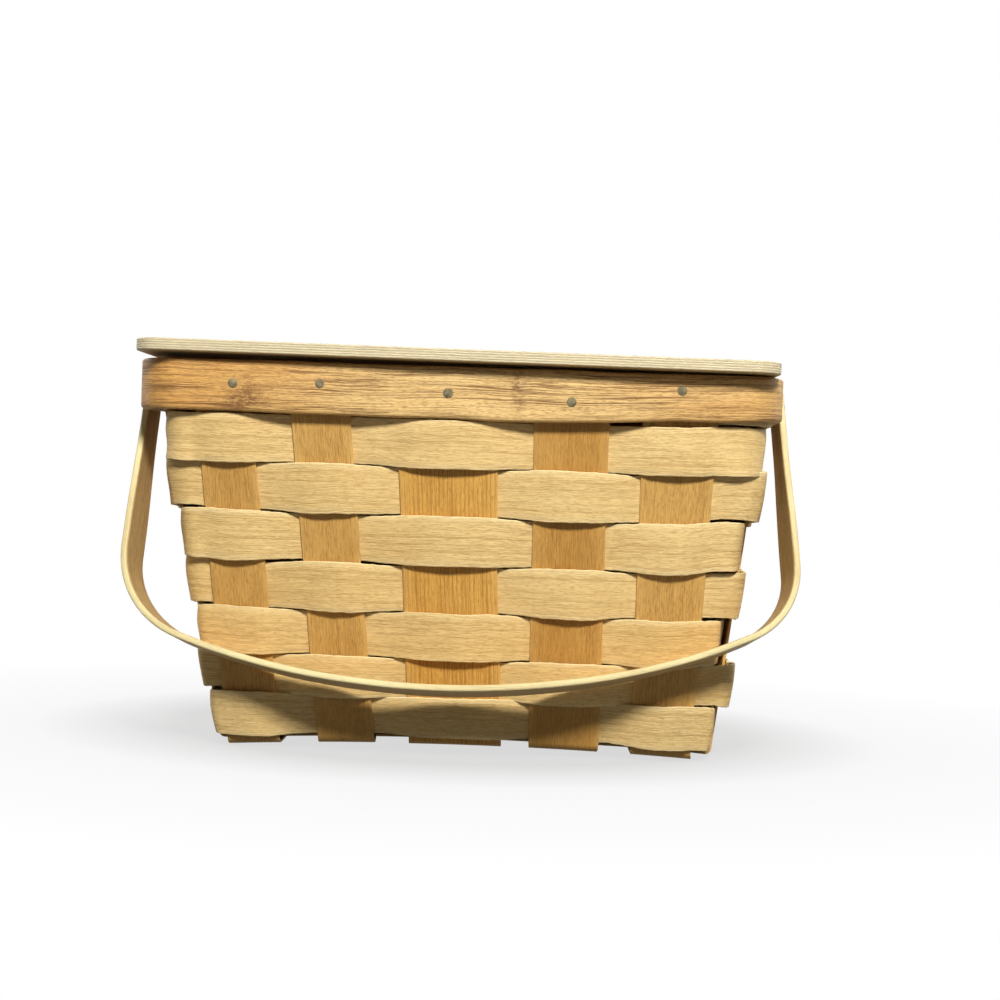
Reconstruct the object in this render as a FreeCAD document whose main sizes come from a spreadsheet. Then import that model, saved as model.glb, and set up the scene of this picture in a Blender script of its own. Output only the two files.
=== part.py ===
import FreeCAD, Part
import math
import os
from types import SimpleNamespace
from FreeCAD import Placement, Rotation, Vector

doc = FreeCAD.newDocument("splint_basket")
sheet = doc.addObject("Spreadsheet::Sheet", "Sizes")

# Lengths in mm, angles in degrees. X runs along the basket, the front is at -Y.
SIZES = [
    ("rim_length", 326),
    ("rim_depth", 216),
    ("rim_height", 25),
    ("rim_corner_radius", 22),
    ("outer_rim_thickness", 5),
    ("inner_rim_thickness", 4.5),
    # Splints: thickness, height of a weaver row and the gap between rows.
    ("splint_thickness", 1.5),
    ("row_count", 7),
    ("row_pitch", 24.6),
    ("bottom_row_pitch", 20.1),
    ("row_gap", 0.6),
    ("bend_radius", 4.5),
    ("edge_margin", 0.4),
    # The base is smaller than the rim and stands a little to the right of it.
    ("base_length", 257.6),
    ("base_depth", 156),
    ("base_shift", 6.5),
    ("base_corner_radius", 4),
    # Five splints run front to back under the base, each with its own lean and width. Their places
    # are shares of the straight half of the wall, their widths shares of the base length.
    ("cross_top_share_1", -0.85),
    ("cross_top_share_2", -0.518),
    ("cross_top_share_3", -0.053),
    ("cross_top_share_4", 0.394),
    ("cross_top_share_5", 0.784),
    ("cross_base_share_1", -0.857),
    ("cross_base_share_2", -0.489),
    ("cross_base_share_3", -0.028),
    ("cross_base_share_4", 0.405),
    ("cross_base_share_5", 0.801),
    ("cross_width_share_1", 0.118),
    ("cross_width_share_2", 0.118),
    ("cross_width_share_3", 0.198),
    ("cross_width_share_4", 0.149),
    ("cross_width_share_5", 0.149),
    # Three splints run lengthwise under the base and up the ends, placed by shares of the depth.
    ("long_width_share", 0.231),
    ("long_top_share", 0.615),
    ("long_base_share", 0.622),
    # Nails through both rims, placed by shares of the straight half of the rim, each at its own
    # depth below the rim top.
    ("nail_share_1", -0.806),
    ("nail_share_2", -0.499),
    ("nail_share_3", -0.045),
    ("nail_share_4", 0.392),
    ("nail_share_5", 0.779),
    ("nail_drop_1", 12),
    ("nail_drop_2", 11),
    ("nail_drop_3", 13.5),
    ("nail_drop_4", 16),
    ("nail_drop_5", 8.5),
    ("nail_radius", 1.1),
    ("nail_head_radius", 2.5),
    ("nail_head_height", 0.9),
    ("nail_clench_radius", 1.9),
    ("nail_clench_height", 0.6),
    # Lid board, cut a little out of square: its front edge stands further left than its rear edge.
    ("lid_thickness", 6),
    ("lid_overhang", 7),
    ("lid_left_overhang", 1.2),
    ("lid_right_inset", 4.2),
    ("lid_skew", 4),
    ("lid_corner_radius", 13),
    ("lid_edge_radius", 0.8),
    # Butt hinges between rim top and lid.
    ("hinge_length", 30),
    ("hinge_leaf_depth", 10),
    ("hinge_leaf_thickness", 0.9),
    ("hinge_leaf_gap", 0.2),
    ("hinge_knuckle_radius", 2.2),
    ("hinge_knuckle_gap", 0.2),
    ("hinge_side_gap", 0.3),
    ("hinge_pin_radius", 0.95),
    ("hinge_pin_clearance", 0.05),
    ("hinge_pin_head", 0.6),
    ("hinge_share", 0.555),
    ("screw_spacing", 19),
    ("screw_set_back", 2.6),
    ("screw_radius", 0.9),
    ("screw_head_radius", 1.7),
    ("screw_length", 5),
    # Swing handles: flat bent strips, hung on rivets through the rim ends.
    ("handle_width", 25),
    ("handle_thickness", 3.4),
    ("handle_reach", 163.4),
    ("handle_arch_radius", 395),
    ("handle_corner_radius", 61),
    ("handle_flare", 1.2),
    ("handle_lean", 1.2),
    ("handle_skew", 5),
    ("handle_wall_clearance", 0.5),
    ("pivot_drop", 12.5),
    ("rivet_radius", 2.4),
    ("rivet_clearance", 0.05),
    ("rivet_head_radius", 5),
    ("rivet_head_height", 2),
    ("rivet_tail_radius", 3.4),
    ("rivet_tail_height", 1.4),
    ("washer_radius", 7),
    ("washer_thickness", 1.5),
    ("side_clearance", 0.5),
]

for line, (name, value) in enumerate(SIZES, start=1):
    sheet.set("A%d" % line, name)
    sheet.set("B%d" % line, str(value))
    sheet.setAlias("B%d" % line, name)
doc.recompute()

d = SimpleNamespace(**{name: float(sheet.get(name)) for name, value in SIZES})

CROSS = [1, 2, 3, 4, 5]
LONG = {"front": -1, "middle": 0, "rear": 1}

rows = int(d.row_count)
half_splint = d.splint_thickness / 2
row_start = half_splint + d.bend_radius
rim_bottom = row_start + (rows - 1) * d.row_pitch + d.bottom_row_pitch
rim_top = rim_bottom + d.rim_height

# The weave between the rims is one upright thick, with half a row on each side.
weave_half = 1.5 * d.splint_thickness
rim_half_length = d.rim_length / 2
rim_half_depth = d.rim_depth / 2
wall_top_length = rim_half_length - d.outer_rim_thickness - weave_half
wall_top_depth = rim_half_depth - d.outer_rim_thickness - weave_half
wall_top_corner = d.rim_corner_radius - d.outer_rim_thickness - weave_half

pivot_height = rim_top - d.pivot_drop
long_width = d.long_width_share * d.base_depth
end_nail_height = rim_top - d.rim_height / 2
handle_inner = rim_half_length + d.washer_thickness + d.side_clearance

ROW_START = "Sizes.splint_thickness / 2 + Sizes.bend_radius"
RIM_BOTTOM = ROW_START + " + (Sizes.row_count - 1) * Sizes.row_pitch + Sizes.bottom_row_pitch"
RIM_TOP = RIM_BOTTOM + " + Sizes.rim_height"
HINGE_GAP = "2 * Sizes.hinge_leaf_thickness + Sizes.hinge_leaf_gap"


def cell(name, number):
    return getattr(d, "%s_%d" % (name, number))


def blend(low, high, share):
    return low + (high - low) * share


def wall_share(z):
    return min(z / rim_bottom, 1.0)


def wall_shift(z):
    return d.base_shift * (1 - wall_share(z))


def wall_length(z):
    return blend(d.base_length / 2, wall_top_length, wall_share(z))


def wall_depth(z):
    return blend(d.base_depth / 2, wall_top_depth, wall_share(z))


def wall_corner(z):
    return blend(d.base_corner_radius, wall_top_corner, wall_share(z))


def cross_x(number, z):
    base = d.base_shift + cell("cross_base_share", number) * (d.base_length / 2 - d.base_corner_radius)
    top = cell("cross_top_share", number) * (wall_top_length - wall_top_corner)
    return blend(base, top, z / rim_top)


def cross_width(number):
    return cell("cross_width_share", number) * d.base_length


def long_y(side, z):
    base = d.long_base_share * (d.base_depth / 2 - d.base_corner_radius)
    top = d.long_top_share * (wall_top_depth - wall_top_corner)
    return side * blend(base, top, z / rim_top)


def nail_x(number):
    return cell("nail_share", number) * (rim_half_length - d.rim_corner_radius)


def nail_height(number):
    return rim_top - cell("nail_drop", number)


# The handles hang on rivets through the middle of the outer end splints.
pivot_spacing = long_y(1, pivot_height)


def arc_edge(start, middle, end):
    return Part.Arc(start, middle, end).toShape()


def line_edge(start, end):
    return Part.LineSegment(start, end).toShape()


def chain(points):
    return [line_edge(a, b) for a, b in zip(points, points[1:])]


def add_solid(label, shape):
    feature = doc.addObject("Part::Feature", label)
    feature.Label = label
    feature.Shape = shape
    return feature


def origin_plane(body, role):
    return next(item for item in body.Origin.OriginFeatures if item.Role == role)


def add_body(label):
    body = doc.addObject("PartDesign::Body", label)
    body.Label = label
    return body


def add_sketch(body, name, role, geometry, height=None):
    sketch = body.newObject("Sketcher::SketchObject", name)
    sketch.AttachmentSupport = [(origin_plane(body, role), "")]
    sketch.MapMode = "FlatFace"
    if height:
        sketch.setExpression(".AttachmentOffset.Base.z", height)
    sketch.addGeometry(geometry, False)
    return sketch


def add_pad(body, sketch, length, symmetric=False):
    pad = body.newObject("PartDesign::Pad", body.Label + "_pad")
    pad.Profile = sketch
    pad.setExpression("Length", length)
    if symmetric:
        pad.SideType = "Symmetric"
    sketch.Visibility = False
    doc.recompute()
    return pad


def add_through_cut(body, sketch):
    pocket = body.newObject("PartDesign::Pocket", body.Label + "_cut")
    pocket.Profile = sketch
    pocket.Type = "ThroughAll"
    pocket.SideType = "Symmetric"
    sketch.Visibility = False
    doc.recompute()
    return pocket


def sketch_circle(x, y, radius):
    return Part.Circle(Vector(x, y, 0), Vector(0, 0, 1), radius)


# Closed outline through the corners, taken counterclockwise, each rounded by an arc.
def rounded_outline(corners, radius):
    arcs = []
    for index, corner in enumerate(corners):
        before = (corners[index - 1] - corner).normalize()
        after = (corners[(index + 1) % len(corners)] - corner).normalize()
        half_angle = before.getAngle(after) / 2
        centre = corner + (before + after).normalize() * (radius / math.sin(half_angle))
        reach = radius / math.tan(half_angle)
        start = corner + before * reach - centre
        end = corner + after * reach - centre
        arcs.append(arc_between(centre, radius, start, end))
    geometry = []
    for index, arc in enumerate(arcs):
        geometry.append(Part.LineSegment(arcs[index - 1].EndPoint, arc.StartPoint))
        geometry.append(arc)
    return geometry


def arc_between(centre, radius, start, end):
    first = math.atan2(start.y, start.x)
    last = math.atan2(end.y, end.x)
    if last < first:
        last += 2 * math.pi
    return Part.ArcOfCircle(sketch_circle(centre.x, centre.y, radius), first, last)


def rim_outline(inset):
    length = rim_half_length - inset
    depth = rim_half_depth - inset
    corners = [Vector(-length, -depth), Vector(length, -depth), Vector(length, depth), Vector(-length, depth)]
    return rounded_outline(corners, d.rim_corner_radius - inset)


# Outline of a weaver at height z. The strip passes outside every second upright and inside the
# others; face is the distance of the outline from the middle of the strip.
def row_outline(z, order, face):
    length = wall_length(z)
    depth = wall_depth(z)
    corner = wall_corner(z)
    shift = wall_shift(z)
    side = order * d.splint_thickness
    front = [(shift - length + corner, -side)]
    for number in CROSS:
        offset = side if number % 2 else -side
        half = cross_width(number) / 2 + d.edge_margin
        front.append((cross_x(number, z) - half, offset))
        front.append((cross_x(number, z) + half, offset))
    front.append((shift + length - corner, -side))
    inner_edge = long_y(1, z) - long_width / 2 - d.edge_margin
    middle_edge = long_width / 2 + d.edge_margin
    end = [
        (corner - depth, -side),
        (-inner_edge, -side),
        (-middle_edge, side),
        (middle_edge, side),
        (inner_edge, -side),
        (depth - corner, -side),
    ]
    edges = chain([Vector(x, -(depth + offset + face), z) for x, offset in front])
    edges.append(corner_arc(shift + length - corner, corner - depth, corner - side + face, -90, z))
    edges += chain([Vector(shift + length + offset + face, y, z) for y, offset in end])
    edges.append(corner_arc(shift + length - corner, depth - corner, corner - side + face, 0, z))
    edges += chain([Vector(x, depth + offset + face, z) for x, offset in reversed(front)])
    edges.append(corner_arc(shift - length + corner, depth - corner, corner - side + face, 90, z))
    edges += chain([Vector(shift - length - offset - face, y, z) for y, offset in reversed(end)])
    edges.append(corner_arc(shift - length + corner, corner - depth, corner - side + face, 180, z))
    return Part.Wire(edges)


def corner_arc(x, y, radius, start, z):
    points = []
    for turn in (0, 45, 90):
        angle = math.radians(start + turn)
        points.append(Vector(x + radius * math.cos(angle), y + radius * math.sin(angle), z))
    return arc_edge(*points)


def weaver(bottom, top, order):
    outside = [row_outline(z, order, half_splint) for z in (bottom, top)]
    inside = [row_outline(z, order, -half_splint) for z in (bottom, top)]
    return Part.makeLoft(outside, True, True).cut(Part.makeLoft(inside, True, True))


# Section of a splint that comes down one wall, crosses the base and goes up the other wall.
# Stations are (position, height) points of its middle line along the base.
def splint_section(foot_low, foot_high, top, base, radius, stations, place):
    low = wall_bend(foot_low, -top, -1, base, radius)
    high = wall_bend(foot_high, top, 1, base, radius)
    faces = []
    for face in (half_splint, -half_splint):
        start = [(-top - face, rim_top), (-top - face, rim_bottom), (low.wall[0] - face, low.wall[1])]
        floor = [(low.floor, base - face)]
        floor += [(position, height - face) for position, height in stations]
        floor.append((high.floor, base - face))
        finish = [(high.wall[0] + face, high.wall[1]), (top + face, rim_bottom), (top + face, rim_top)]
        edges = chain([place(*point) for point in start])
        edges.append(bend_edge(start[-1], low, radius + face, floor[0], place))
        edges += chain([place(*point) for point in floor])
        edges.append(bend_edge(floor[-1], high, radius + face, finish[0], place))
        edges += chain([place(*point) for point in finish])
        faces.append(edges)
    ends = []
    for sign in (-1, 1):
        outside = place(sign * (top + half_splint), rim_top)
        inside = place(sign * (top - half_splint), rim_top)
        ends.append(line_edge(outside, inside))
    return Part.Face(Part.Wire(Part.__sortEdges__(faces[0] + faces[1] + ends)))


def wall_bend(foot, top, sign, base, radius):
    slope = (top - foot) / rim_bottom * sign
    slant = math.hypot(1, slope)
    centre_height = base + radius
    centre = foot + sign * slope * centre_height - sign * radius * slant
    wall = (centre + sign * radius / slant, centre_height - radius * slope / slant)
    outward = math.atan2(-slope / slant, sign / slant)
    downward = -math.pi / 2
    if sign < 0:
        downward += 2 * math.pi
        outward += 2 * math.pi if outward < 0 else 0
    middle = (outward + downward) / 2
    return SimpleNamespace(wall=wall, floor=centre, centre=(centre, centre_height), middle=middle)


def bend_edge(start, bend, radius, end, place):
    middle = (
        bend.centre[0] + radius * math.cos(bend.middle),
        bend.centre[1] + radius * math.sin(bend.middle),
    )
    return arc_edge(place(*start), place(*middle), place(*end))


def in_depth(y, z):
    return Vector(0, y, z)


def in_length(x, z):
    return Vector(x, 0, z)


# Leaning outline of a splint, seen square to its wall, swept through the whole basket.
def lean_prism(centre, width, place, sweep):
    over = d.rim_height
    corners = [
        place(centre(-over) - width / 2, -over),
        place(centre(-over) + width / 2, -over),
        place(centre(rim_top + over) + width / 2, rim_top + over),
        place(centre(rim_top + over) - width / 2, rim_top + over),
    ]
    face = Part.Face(Part.makePolygon(corners + corners[:1]))
    face.translate(-sweep / 2)
    return face.extrude(sweep)


def cross_splint(number):
    low = half_splint
    high = low + 2 * d.splint_thickness
    stations = []
    for side in (-1, 0, 1):
        over_front = number % 2 == 0
        over = over_front if side else not over_front
        height = high if over else low
        half = long_width / 2 + d.edge_margin
        stations.append((long_y(side, 0) - half, height))
        stations.append((long_y(side, 0) + half, height))
    foot = d.base_depth / 2
    section = splint_section(-foot, foot, wall_top_depth, low, d.bend_radius, stations, in_depth)
    span = Vector(2 * d.rim_length, 0, 0)
    section.translate(-span / 2)
    depth = Vector(0, 2 * d.rim_depth, 0)
    prism = lean_prism(lambda z: cross_x(number, z), cross_width(number), in_length, depth)
    return section.extrude(span).common(prism)


def long_splint(side):
    base = half_splint + d.splint_thickness
    left = d.base_shift - d.base_length / 2
    right = d.base_shift + d.base_length / 2
    bend = d.bend_radius - d.splint_thickness
    section = splint_section(left, right, wall_top_length, base, bend, [], in_length)
    span = Vector(0, 2 * d.rim_depth, 0)
    section.translate(-span / 2)
    length = Vector(2 * d.rim_length, 0, 0)
    prism = lean_prism(lambda z: long_y(side, z), long_width, in_depth, length)
    return section.extrude(span).common(prism)


def rod(centre, axis, radius):
    reach = d.rim_length
    return Part.makeCylinder(radius, 2 * reach, centre - axis * reach, axis)


# Holes through the weave for the nails and the handle rivets.
hole_tools = [
    rod(Vector(nail_x(number), 0, nail_height(number)), Vector(0, 1, 0), d.nail_radius)
    for number in CROSS
]
hole_tools.append(rod(Vector(0, 0, end_nail_height), Vector(1, 0, 0), d.nail_radius))
for side in (-1, 1):
    pivot = Vector(0, side * pivot_spacing, pivot_height)
    hole_tools.append(rod(pivot, Vector(1, 0, 0), d.rivet_radius))

parts = []

for number in CROSS:
    parts.append(add_solid("cross_splint_%d" % number, cross_splint(number).cut(hole_tools)))
for name, side in LONG.items():
    parts.append(add_solid("long_splint_" + name, long_splint(side).cut(hole_tools)))

parts.append(add_solid("rim_weaver", weaver(rim_bottom + d.row_gap, rim_top, -1).cut(hole_tools)))
for row in range(1, rows + 1):
    top = rim_bottom - (row - 1) * d.row_pitch
    pitch = d.row_pitch if row < rows else d.bottom_row_pitch
    order = 1 if row % 2 else -1
    parts.append(add_solid("weaver_%d" % row, weaver(top - pitch + d.row_gap, top, order)))


# Both rims are bent bands, bored for the nails and the rivets.
def rim_body(label, outer_inset, inner_inset):
    body = add_body(label)
    outline = rim_outline(outer_inset) + rim_outline(inner_inset)
    sketch = add_sketch(body, label + "_outline", "XY_Plane", outline, RIM_BOTTOM)
    add_pad(body, sketch, "Sizes.rim_height")
    across = [sketch_circle(nail_x(n), nail_height(n), d.nail_radius) for n in CROSS]
    add_through_cut(body, add_sketch(body, label + "_nails", "XZ_Plane", across))
    along = [sketch_circle(0, end_nail_height, d.nail_radius)]
    for side in (-1, 1):
        along.append(sketch_circle(side * pivot_spacing, pivot_height, d.rivet_radius))
    add_through_cut(body, add_sketch(body, label + "_pivots", "YZ_Plane", along))
    return body


inner_rim_inset = d.outer_rim_thickness + 2 * weave_half
rim_total = inner_rim_inset + d.inner_rim_thickness
parts.append(rim_body("outer_rim", 0, d.outer_rim_thickness))
parts.append(rim_body("inner_rim", inner_rim_inset, rim_total))


# Turned shape along +X: the head lies outside the face at zero, the shank runs to -X and is
# spread at its far end.
def pinned(shank_radius, head_radius, head_height, length, tail_radius, tail_height):
    crown = Part.makeSphere((head_radius ** 2 + head_height ** 2) / (2 * head_height))
    crown.translate(Vector(head_height - crown.BoundBox.XMax, 0, 0))
    head = crown.common(Part.makeCylinder(head_radius, head_height, Vector(0, 0, 0), Vector(1, 0, 0)))
    shank = Part.makeCylinder(shank_radius, length, Vector(-length, 0, 0), Vector(1, 0, 0))
    tail = Part.makeCone(tail_radius, shank_radius, tail_height, Vector(-length, 0, 0), Vector(-1, 0, 0))
    return head.fuse([shank, tail]).removeSplitter()


def placed(shape, position, turn):
    copy = shape.copy()
    copy.Placement = Placement(position, Rotation(Vector(0, 0, 1), turn))
    return copy


nail = pinned(
    d.nail_radius,
    d.nail_head_radius,
    d.nail_head_height,
    rim_total,
    d.nail_clench_radius,
    d.nail_clench_height,
)
nails = []
for number in CROSS:
    x = nail_x(number)
    nails.append(placed(nail, Vector(x, -rim_half_depth, nail_height(number)), -90))
    nails.append(placed(nail, Vector(x, rim_half_depth, nail_height(number)), 90))
nails.append(placed(nail, Vector(rim_half_length, 0, end_nail_height), 0))
nails.append(placed(nail, Vector(-rim_half_length, 0, end_nail_height), 180))
parts.append(add_solid("rim_nails", Part.makeCompound(nails)))

handle_outer = handle_inner + d.handle_thickness
rivet_length = handle_outer + d.side_clearance - rim_half_length + rim_total + d.washer_thickness
rivet = pinned(
    d.rivet_radius,
    d.rivet_head_radius,
    d.rivet_head_height,
    rivet_length,
    d.rivet_tail_radius,
    d.rivet_tail_height,
)
ring = Part.makeCylinder(d.washer_radius, d.washer_thickness, Vector(0, 0, 0), Vector(1, 0, 0))
washer = ring.cut(rod(Vector(0, 0, 0), Vector(1, 0, 0), d.rivet_radius))
rivets = []
washers = []
burrs = []
for end, turn in ((1, 0), (-1, 180)):
    for side in (-1, 1):
        y = side * pivot_spacing
        rivets.append(placed(rivet, Vector(end * (handle_outer + d.side_clearance), y, pivot_height), turn))
        washers.append(placed(washer, Vector(end * rim_half_length, y, pivot_height), turn))
        burr_face = rim_half_length - rim_total - d.washer_thickness
        burrs.append(placed(washer, Vector(end * burr_face, y, pivot_height), turn))
parts.append(add_solid("handle_rivets", Part.makeCompound(rivets)))
parts.append(add_solid("pivot_washers", Part.makeCompound(washers)))
parts.append(add_solid("rivet_burrs", Part.makeCompound(burrs)))


# Corner of a handle between a leg and the arch, in the plane of the hoop; u runs along X and w
# runs down from the pivots. All outlines of the strip share these centres.
def hoop_corner(side):
    slant = math.radians(side * d.handle_flare + d.handle_lean)
    along = Vector(math.sin(slant), -math.cos(slant))
    inward = Vector(-side * math.cos(slant), -side * math.sin(slant))
    foot = Vector(side * handle_outer, 0)
    arch = Vector(-d.handle_skew, d.handle_arch_radius - d.handle_reach)
    start = foot + inward * d.handle_corner_radius - arch
    reach = d.handle_arch_radius - d.handle_corner_radius
    drop = start.dot(along)
    length = -drop + math.sqrt(drop ** 2 - start.dot(start) + reach ** 2)
    centre = foot + inward * d.handle_corner_radius + along * length
    toward = (centre - arch).normalize()
    return SimpleNamespace(foot=foot, along=along, inward=inward, centre=centre, arch=arch, toward=toward)


def hoop_outline(inset):
    left = hoop_corner(-1)
    right = hoop_corner(1)
    corner_radius = d.handle_corner_radius - inset
    tip = d.handle_width / 2
    geometry = [
        Part.LineSegment(
            left.foot + left.inward * inset - left.along * tip,
            left.centre - left.inward * corner_radius,
        ),
        arc_between(left.centre, corner_radius, -left.inward, left.toward),
        arc_between(left.arch, d.handle_arch_radius - inset, left.toward, right.toward),
        arc_between(right.centre, corner_radius, right.toward, -right.inward),
        Part.LineSegment(
            right.centre - right.inward * corner_radius,
            right.foot + right.inward * inset - right.along * tip,
        ),
    ]
    return geometry


# A hanging handle leans out until the back edge of its strip lies against the woven front.
def hang_angle():
    points = []
    for curve in hoop_outline(d.handle_thickness):
        points += curve.discretize(24)
    half = d.handle_width / 2
    angle = 0.0
    while angle < 60:
        turn = math.radians(angle)
        gap = min(wall_gap(point, half, turn) for point in points)
        if gap >= d.handle_wall_clearance:
            return angle
        angle += 0.1
    return angle


def wall_gap(point, half, turn):
    y = -pivot_spacing + point.y * math.sin(turn) + half * math.cos(turn)
    z = pivot_height + point.y * math.cos(turn) - half * math.sin(turn)
    reach = wall_length(z) + d.splint_thickness + half_splint
    if abs(point.x - wall_shift(z)) > reach or z > rim_bottom:
        return d.rim_depth
    return -y - wall_depth(z) - d.splint_thickness - half_splint


def handle_body(label, turn, angle):
    body = add_body(label)
    outer = hoop_outline(0)
    inner = hoop_outline(d.handle_thickness)
    tips = [
        Part.LineSegment(outer[0].StartPoint, inner[0].StartPoint),
        Part.LineSegment(outer[-1].EndPoint, inner[-1].EndPoint),
    ]
    sketch = add_sketch(body, label + "_hoop", "XZ_Plane", outer + inner + tips)
    pad = add_pad(body, sketch, "Sizes.handle_width", True)
    edges = []
    for index, edge in enumerate(pad.Shape.Edges, start=1):
        box = edge.BoundBox
        level = box.ZMin > 0 and box.YLength < d.side_clearance
        if level and edge.Length < 2 * d.handle_thickness:
            edges.append("Edge%d" % index)
    fillet = body.newObject("PartDesign::Fillet", label + "_tips")
    fillet.Base = (pad, edges)
    fillet.setExpression("Radius", "Sizes.handle_width / 2 - Sizes.side_clearance")
    doc.recompute()
    bore = [sketch_circle(0, 0, d.rivet_radius + d.rivet_clearance)]
    add_through_cut(body, add_sketch(body, label + "_bore", "YZ_Plane", bore))
    swing = Rotation(Vector(0, 0, 1), turn).multiply(Rotation(Vector(1, 0, 0), -angle))
    side = -1 if turn == 0 else 1
    body.Placement = Placement(Vector(0, side * pivot_spacing, pivot_height), swing)
    return body


rest = hang_angle()
parts.append(handle_body("front_handle", 0, rest))
parts.append(handle_body("rear_handle", 180, rest))

# Lid board and its two hinges.
axis_depth = rim_half_depth + d.hinge_side_gap + d.hinge_knuckle_radius
axis_height = rim_top + d.hinge_leaf_thickness + d.hinge_leaf_gap / 2
lid_rear = axis_depth - d.hinge_knuckle_radius - d.hinge_side_gap
lid_front = -rim_half_depth - d.lid_overhang
lid_left = -rim_half_length - d.lid_left_overhang
lid_right = rim_half_length - d.lid_right_inset

lid = add_body("lid")
lid_corners = [
    Vector(lid_left, lid_front),
    Vector(lid_right, lid_front),
    Vector(lid_right + d.lid_skew, lid_rear),
    Vector(lid_left + d.lid_skew, lid_rear),
]
lid_outline = rounded_outline(lid_corners, d.lid_corner_radius)
lid_sketch = add_sketch(lid, "lid_outline", "XY_Plane", lid_outline, RIM_TOP + " + " + HINGE_GAP)
lid_pad = add_pad(lid, lid_sketch, "Sizes.lid_thickness")
lid_fillet = lid.newObject("PartDesign::Fillet", "lid_edges")
lid_faces = [index for index, face in enumerate(lid_pad.Shape.Faces, start=1) if face.BoundBox.ZLength == 0]
lid_fillet.Base = (lid_pad, ["Face%d" % index for index in lid_faces])
lid_fillet.setExpression("Radius", "Sizes.lid_edge_radius")
parts.append(lid)


def add_box(name, length, depth, height, x, y, z):
    box = doc.addObject("Part::Box", name)
    box.setExpression("Length", length)
    box.setExpression("Width", depth)
    box.setExpression("Height", height)
    box.Placement = Placement(Vector(x, y, z), Rotation())
    return box


def add_rod(name, radius, length, start):
    bar = doc.addObject("Part::Cylinder", name)
    bar.setExpression("Radius", radius)
    bar.Height = length
    bar.Placement = Placement(start, Rotation(Vector(0, 1, 0), 90))
    return bar


# One leaf: a plate with its own knuckles, bored for the pin and countersunk for two screws.
def hinge_leaf(label, centre, bottom, knuckles, up, bore):
    plate_rear = axis_depth - d.hinge_knuckle_radius - d.hinge_side_gap
    leaf = "Sizes.hinge_leaf_thickness"
    pieces = [
        add_box(
            label + "_plate", "Sizes.hinge_length", "Sizes.hinge_leaf_depth", leaf,
            centre - d.hinge_length / 2, plate_rear - d.hinge_leaf_depth, bottom,
        )
    ]
    pitch = d.hinge_length / 5
    length = pitch - d.hinge_knuckle_gap
    for number in knuckles:
        start = centre - d.hinge_length / 2 + number * pitch + d.hinge_knuckle_gap / 2
        tab = "Sizes.hinge_knuckle_radius + Sizes.hinge_side_gap"
        width = "Sizes.hinge_length / 5 - Sizes.hinge_knuckle_gap"
        name = "%s_%d" % (label, number)
        pieces.append(add_box(name + "_tab", width, tab, leaf, start, plate_rear, bottom))
        eye = Vector(start, axis_depth, axis_height)
        pieces.append(add_rod(name + "_eye", "Sizes.hinge_knuckle_radius", length, eye))
    solid = doc.addObject("Part::MultiFuse", label + "_solid")
    solid.Shapes = pieces
    bore_start = Vector(centre - d.hinge_length / 2, axis_depth, axis_height)
    tools = [add_rod(label + "_bore", bore, d.hinge_length, bore_start)]
    for side in (-1, 1):
        sink = doc.addObject("Part::Cone", "%s_sink_%d" % (label, len(tools)))
        sink.setExpression("Radius1", "Sizes.screw_radius" if up else "Sizes.screw_head_radius")
        sink.setExpression("Radius2", "Sizes.screw_head_radius" if up else "Sizes.screw_radius")
        sink.setExpression("Height", leaf)
        x = centre + side * d.screw_spacing / 2
        sink.Placement = Placement(Vector(x, rim_half_depth - d.screw_set_back, bottom), Rotation())
        tools.append(sink)
    cutters = doc.addObject("Part::MultiFuse", label + "_holes")
    cutters.Shapes = tools
    result = doc.addObject("Part::Cut", label)
    result.Label = label
    result.Base = solid
    result.Tool = cutters
    return result


down = Vector(0, 0, -1)
screw_head = Part.makeCone(d.screw_head_radius, d.screw_radius, d.hinge_leaf_thickness, Vector(), down)
screw_shank = Part.makeCylinder(d.screw_radius, d.screw_length, Vector(), down)
screw = screw_head.fuse(screw_shank).removeSplitter()

upper_bottom = rim_top + d.hinge_leaf_thickness + d.hinge_leaf_gap
rim_screws = []
lid_screws = []
for name, side in (("left", -1), ("right", 1)):
    centre = side * d.hinge_share * rim_half_length
    fixed = "Sizes.hinge_pin_radius"
    free = "Sizes.hinge_pin_radius + Sizes.hinge_pin_clearance"
    parts.append(hinge_leaf("hinge_rim_leaf_" + name, centre, rim_top, (0, 2, 4), True, fixed))
    parts.append(hinge_leaf("hinge_lid_leaf_" + name, centre, upper_bottom, (1, 3), False, free))
    start = Vector(centre - d.hinge_length / 2 - d.hinge_pin_head, axis_depth, axis_height)
    parts.append(add_rod("hinge_pin_" + name, fixed, d.hinge_length + 2 * d.hinge_pin_head, start))
    for step in (-1, 1):
        x = centre + step * d.screw_spacing / 2
        y = rim_half_depth - d.screw_set_back
        rim_screws.append(screw.translated(Vector(x, y, rim_top + d.hinge_leaf_thickness)))
        lid_screw = screw.copy()
        lid_screw.Placement = Placement(Vector(x, y, upper_bottom), Rotation(Vector(1, 0, 0), 180))
        lid_screws.append(lid_screw)
parts.append(add_solid("rim_hinge_screws", Part.makeCompound(rim_screws)))
parts.append(add_solid("lid_hinge_screws", Part.makeCompound(lid_screws)))

doc.recompute()
for item in doc.Objects:
    if "Invalid" in item.State or "Error" in item.State:
        raise RuntimeError("failed object " + item.Label)
for item in parts:
    if item.Shape.isNull() or not item.Shape.isValid():
        raise RuntimeError("bad shape " + item.Label)

os.makedirs("parts", exist_ok=True)
for item in parts:
    item.Shape.exportStep("parts/%s.step" % item.Label)
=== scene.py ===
import math

import bmesh
import bpy
import numpy as np
from mathutils import Matrix, Vector


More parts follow.
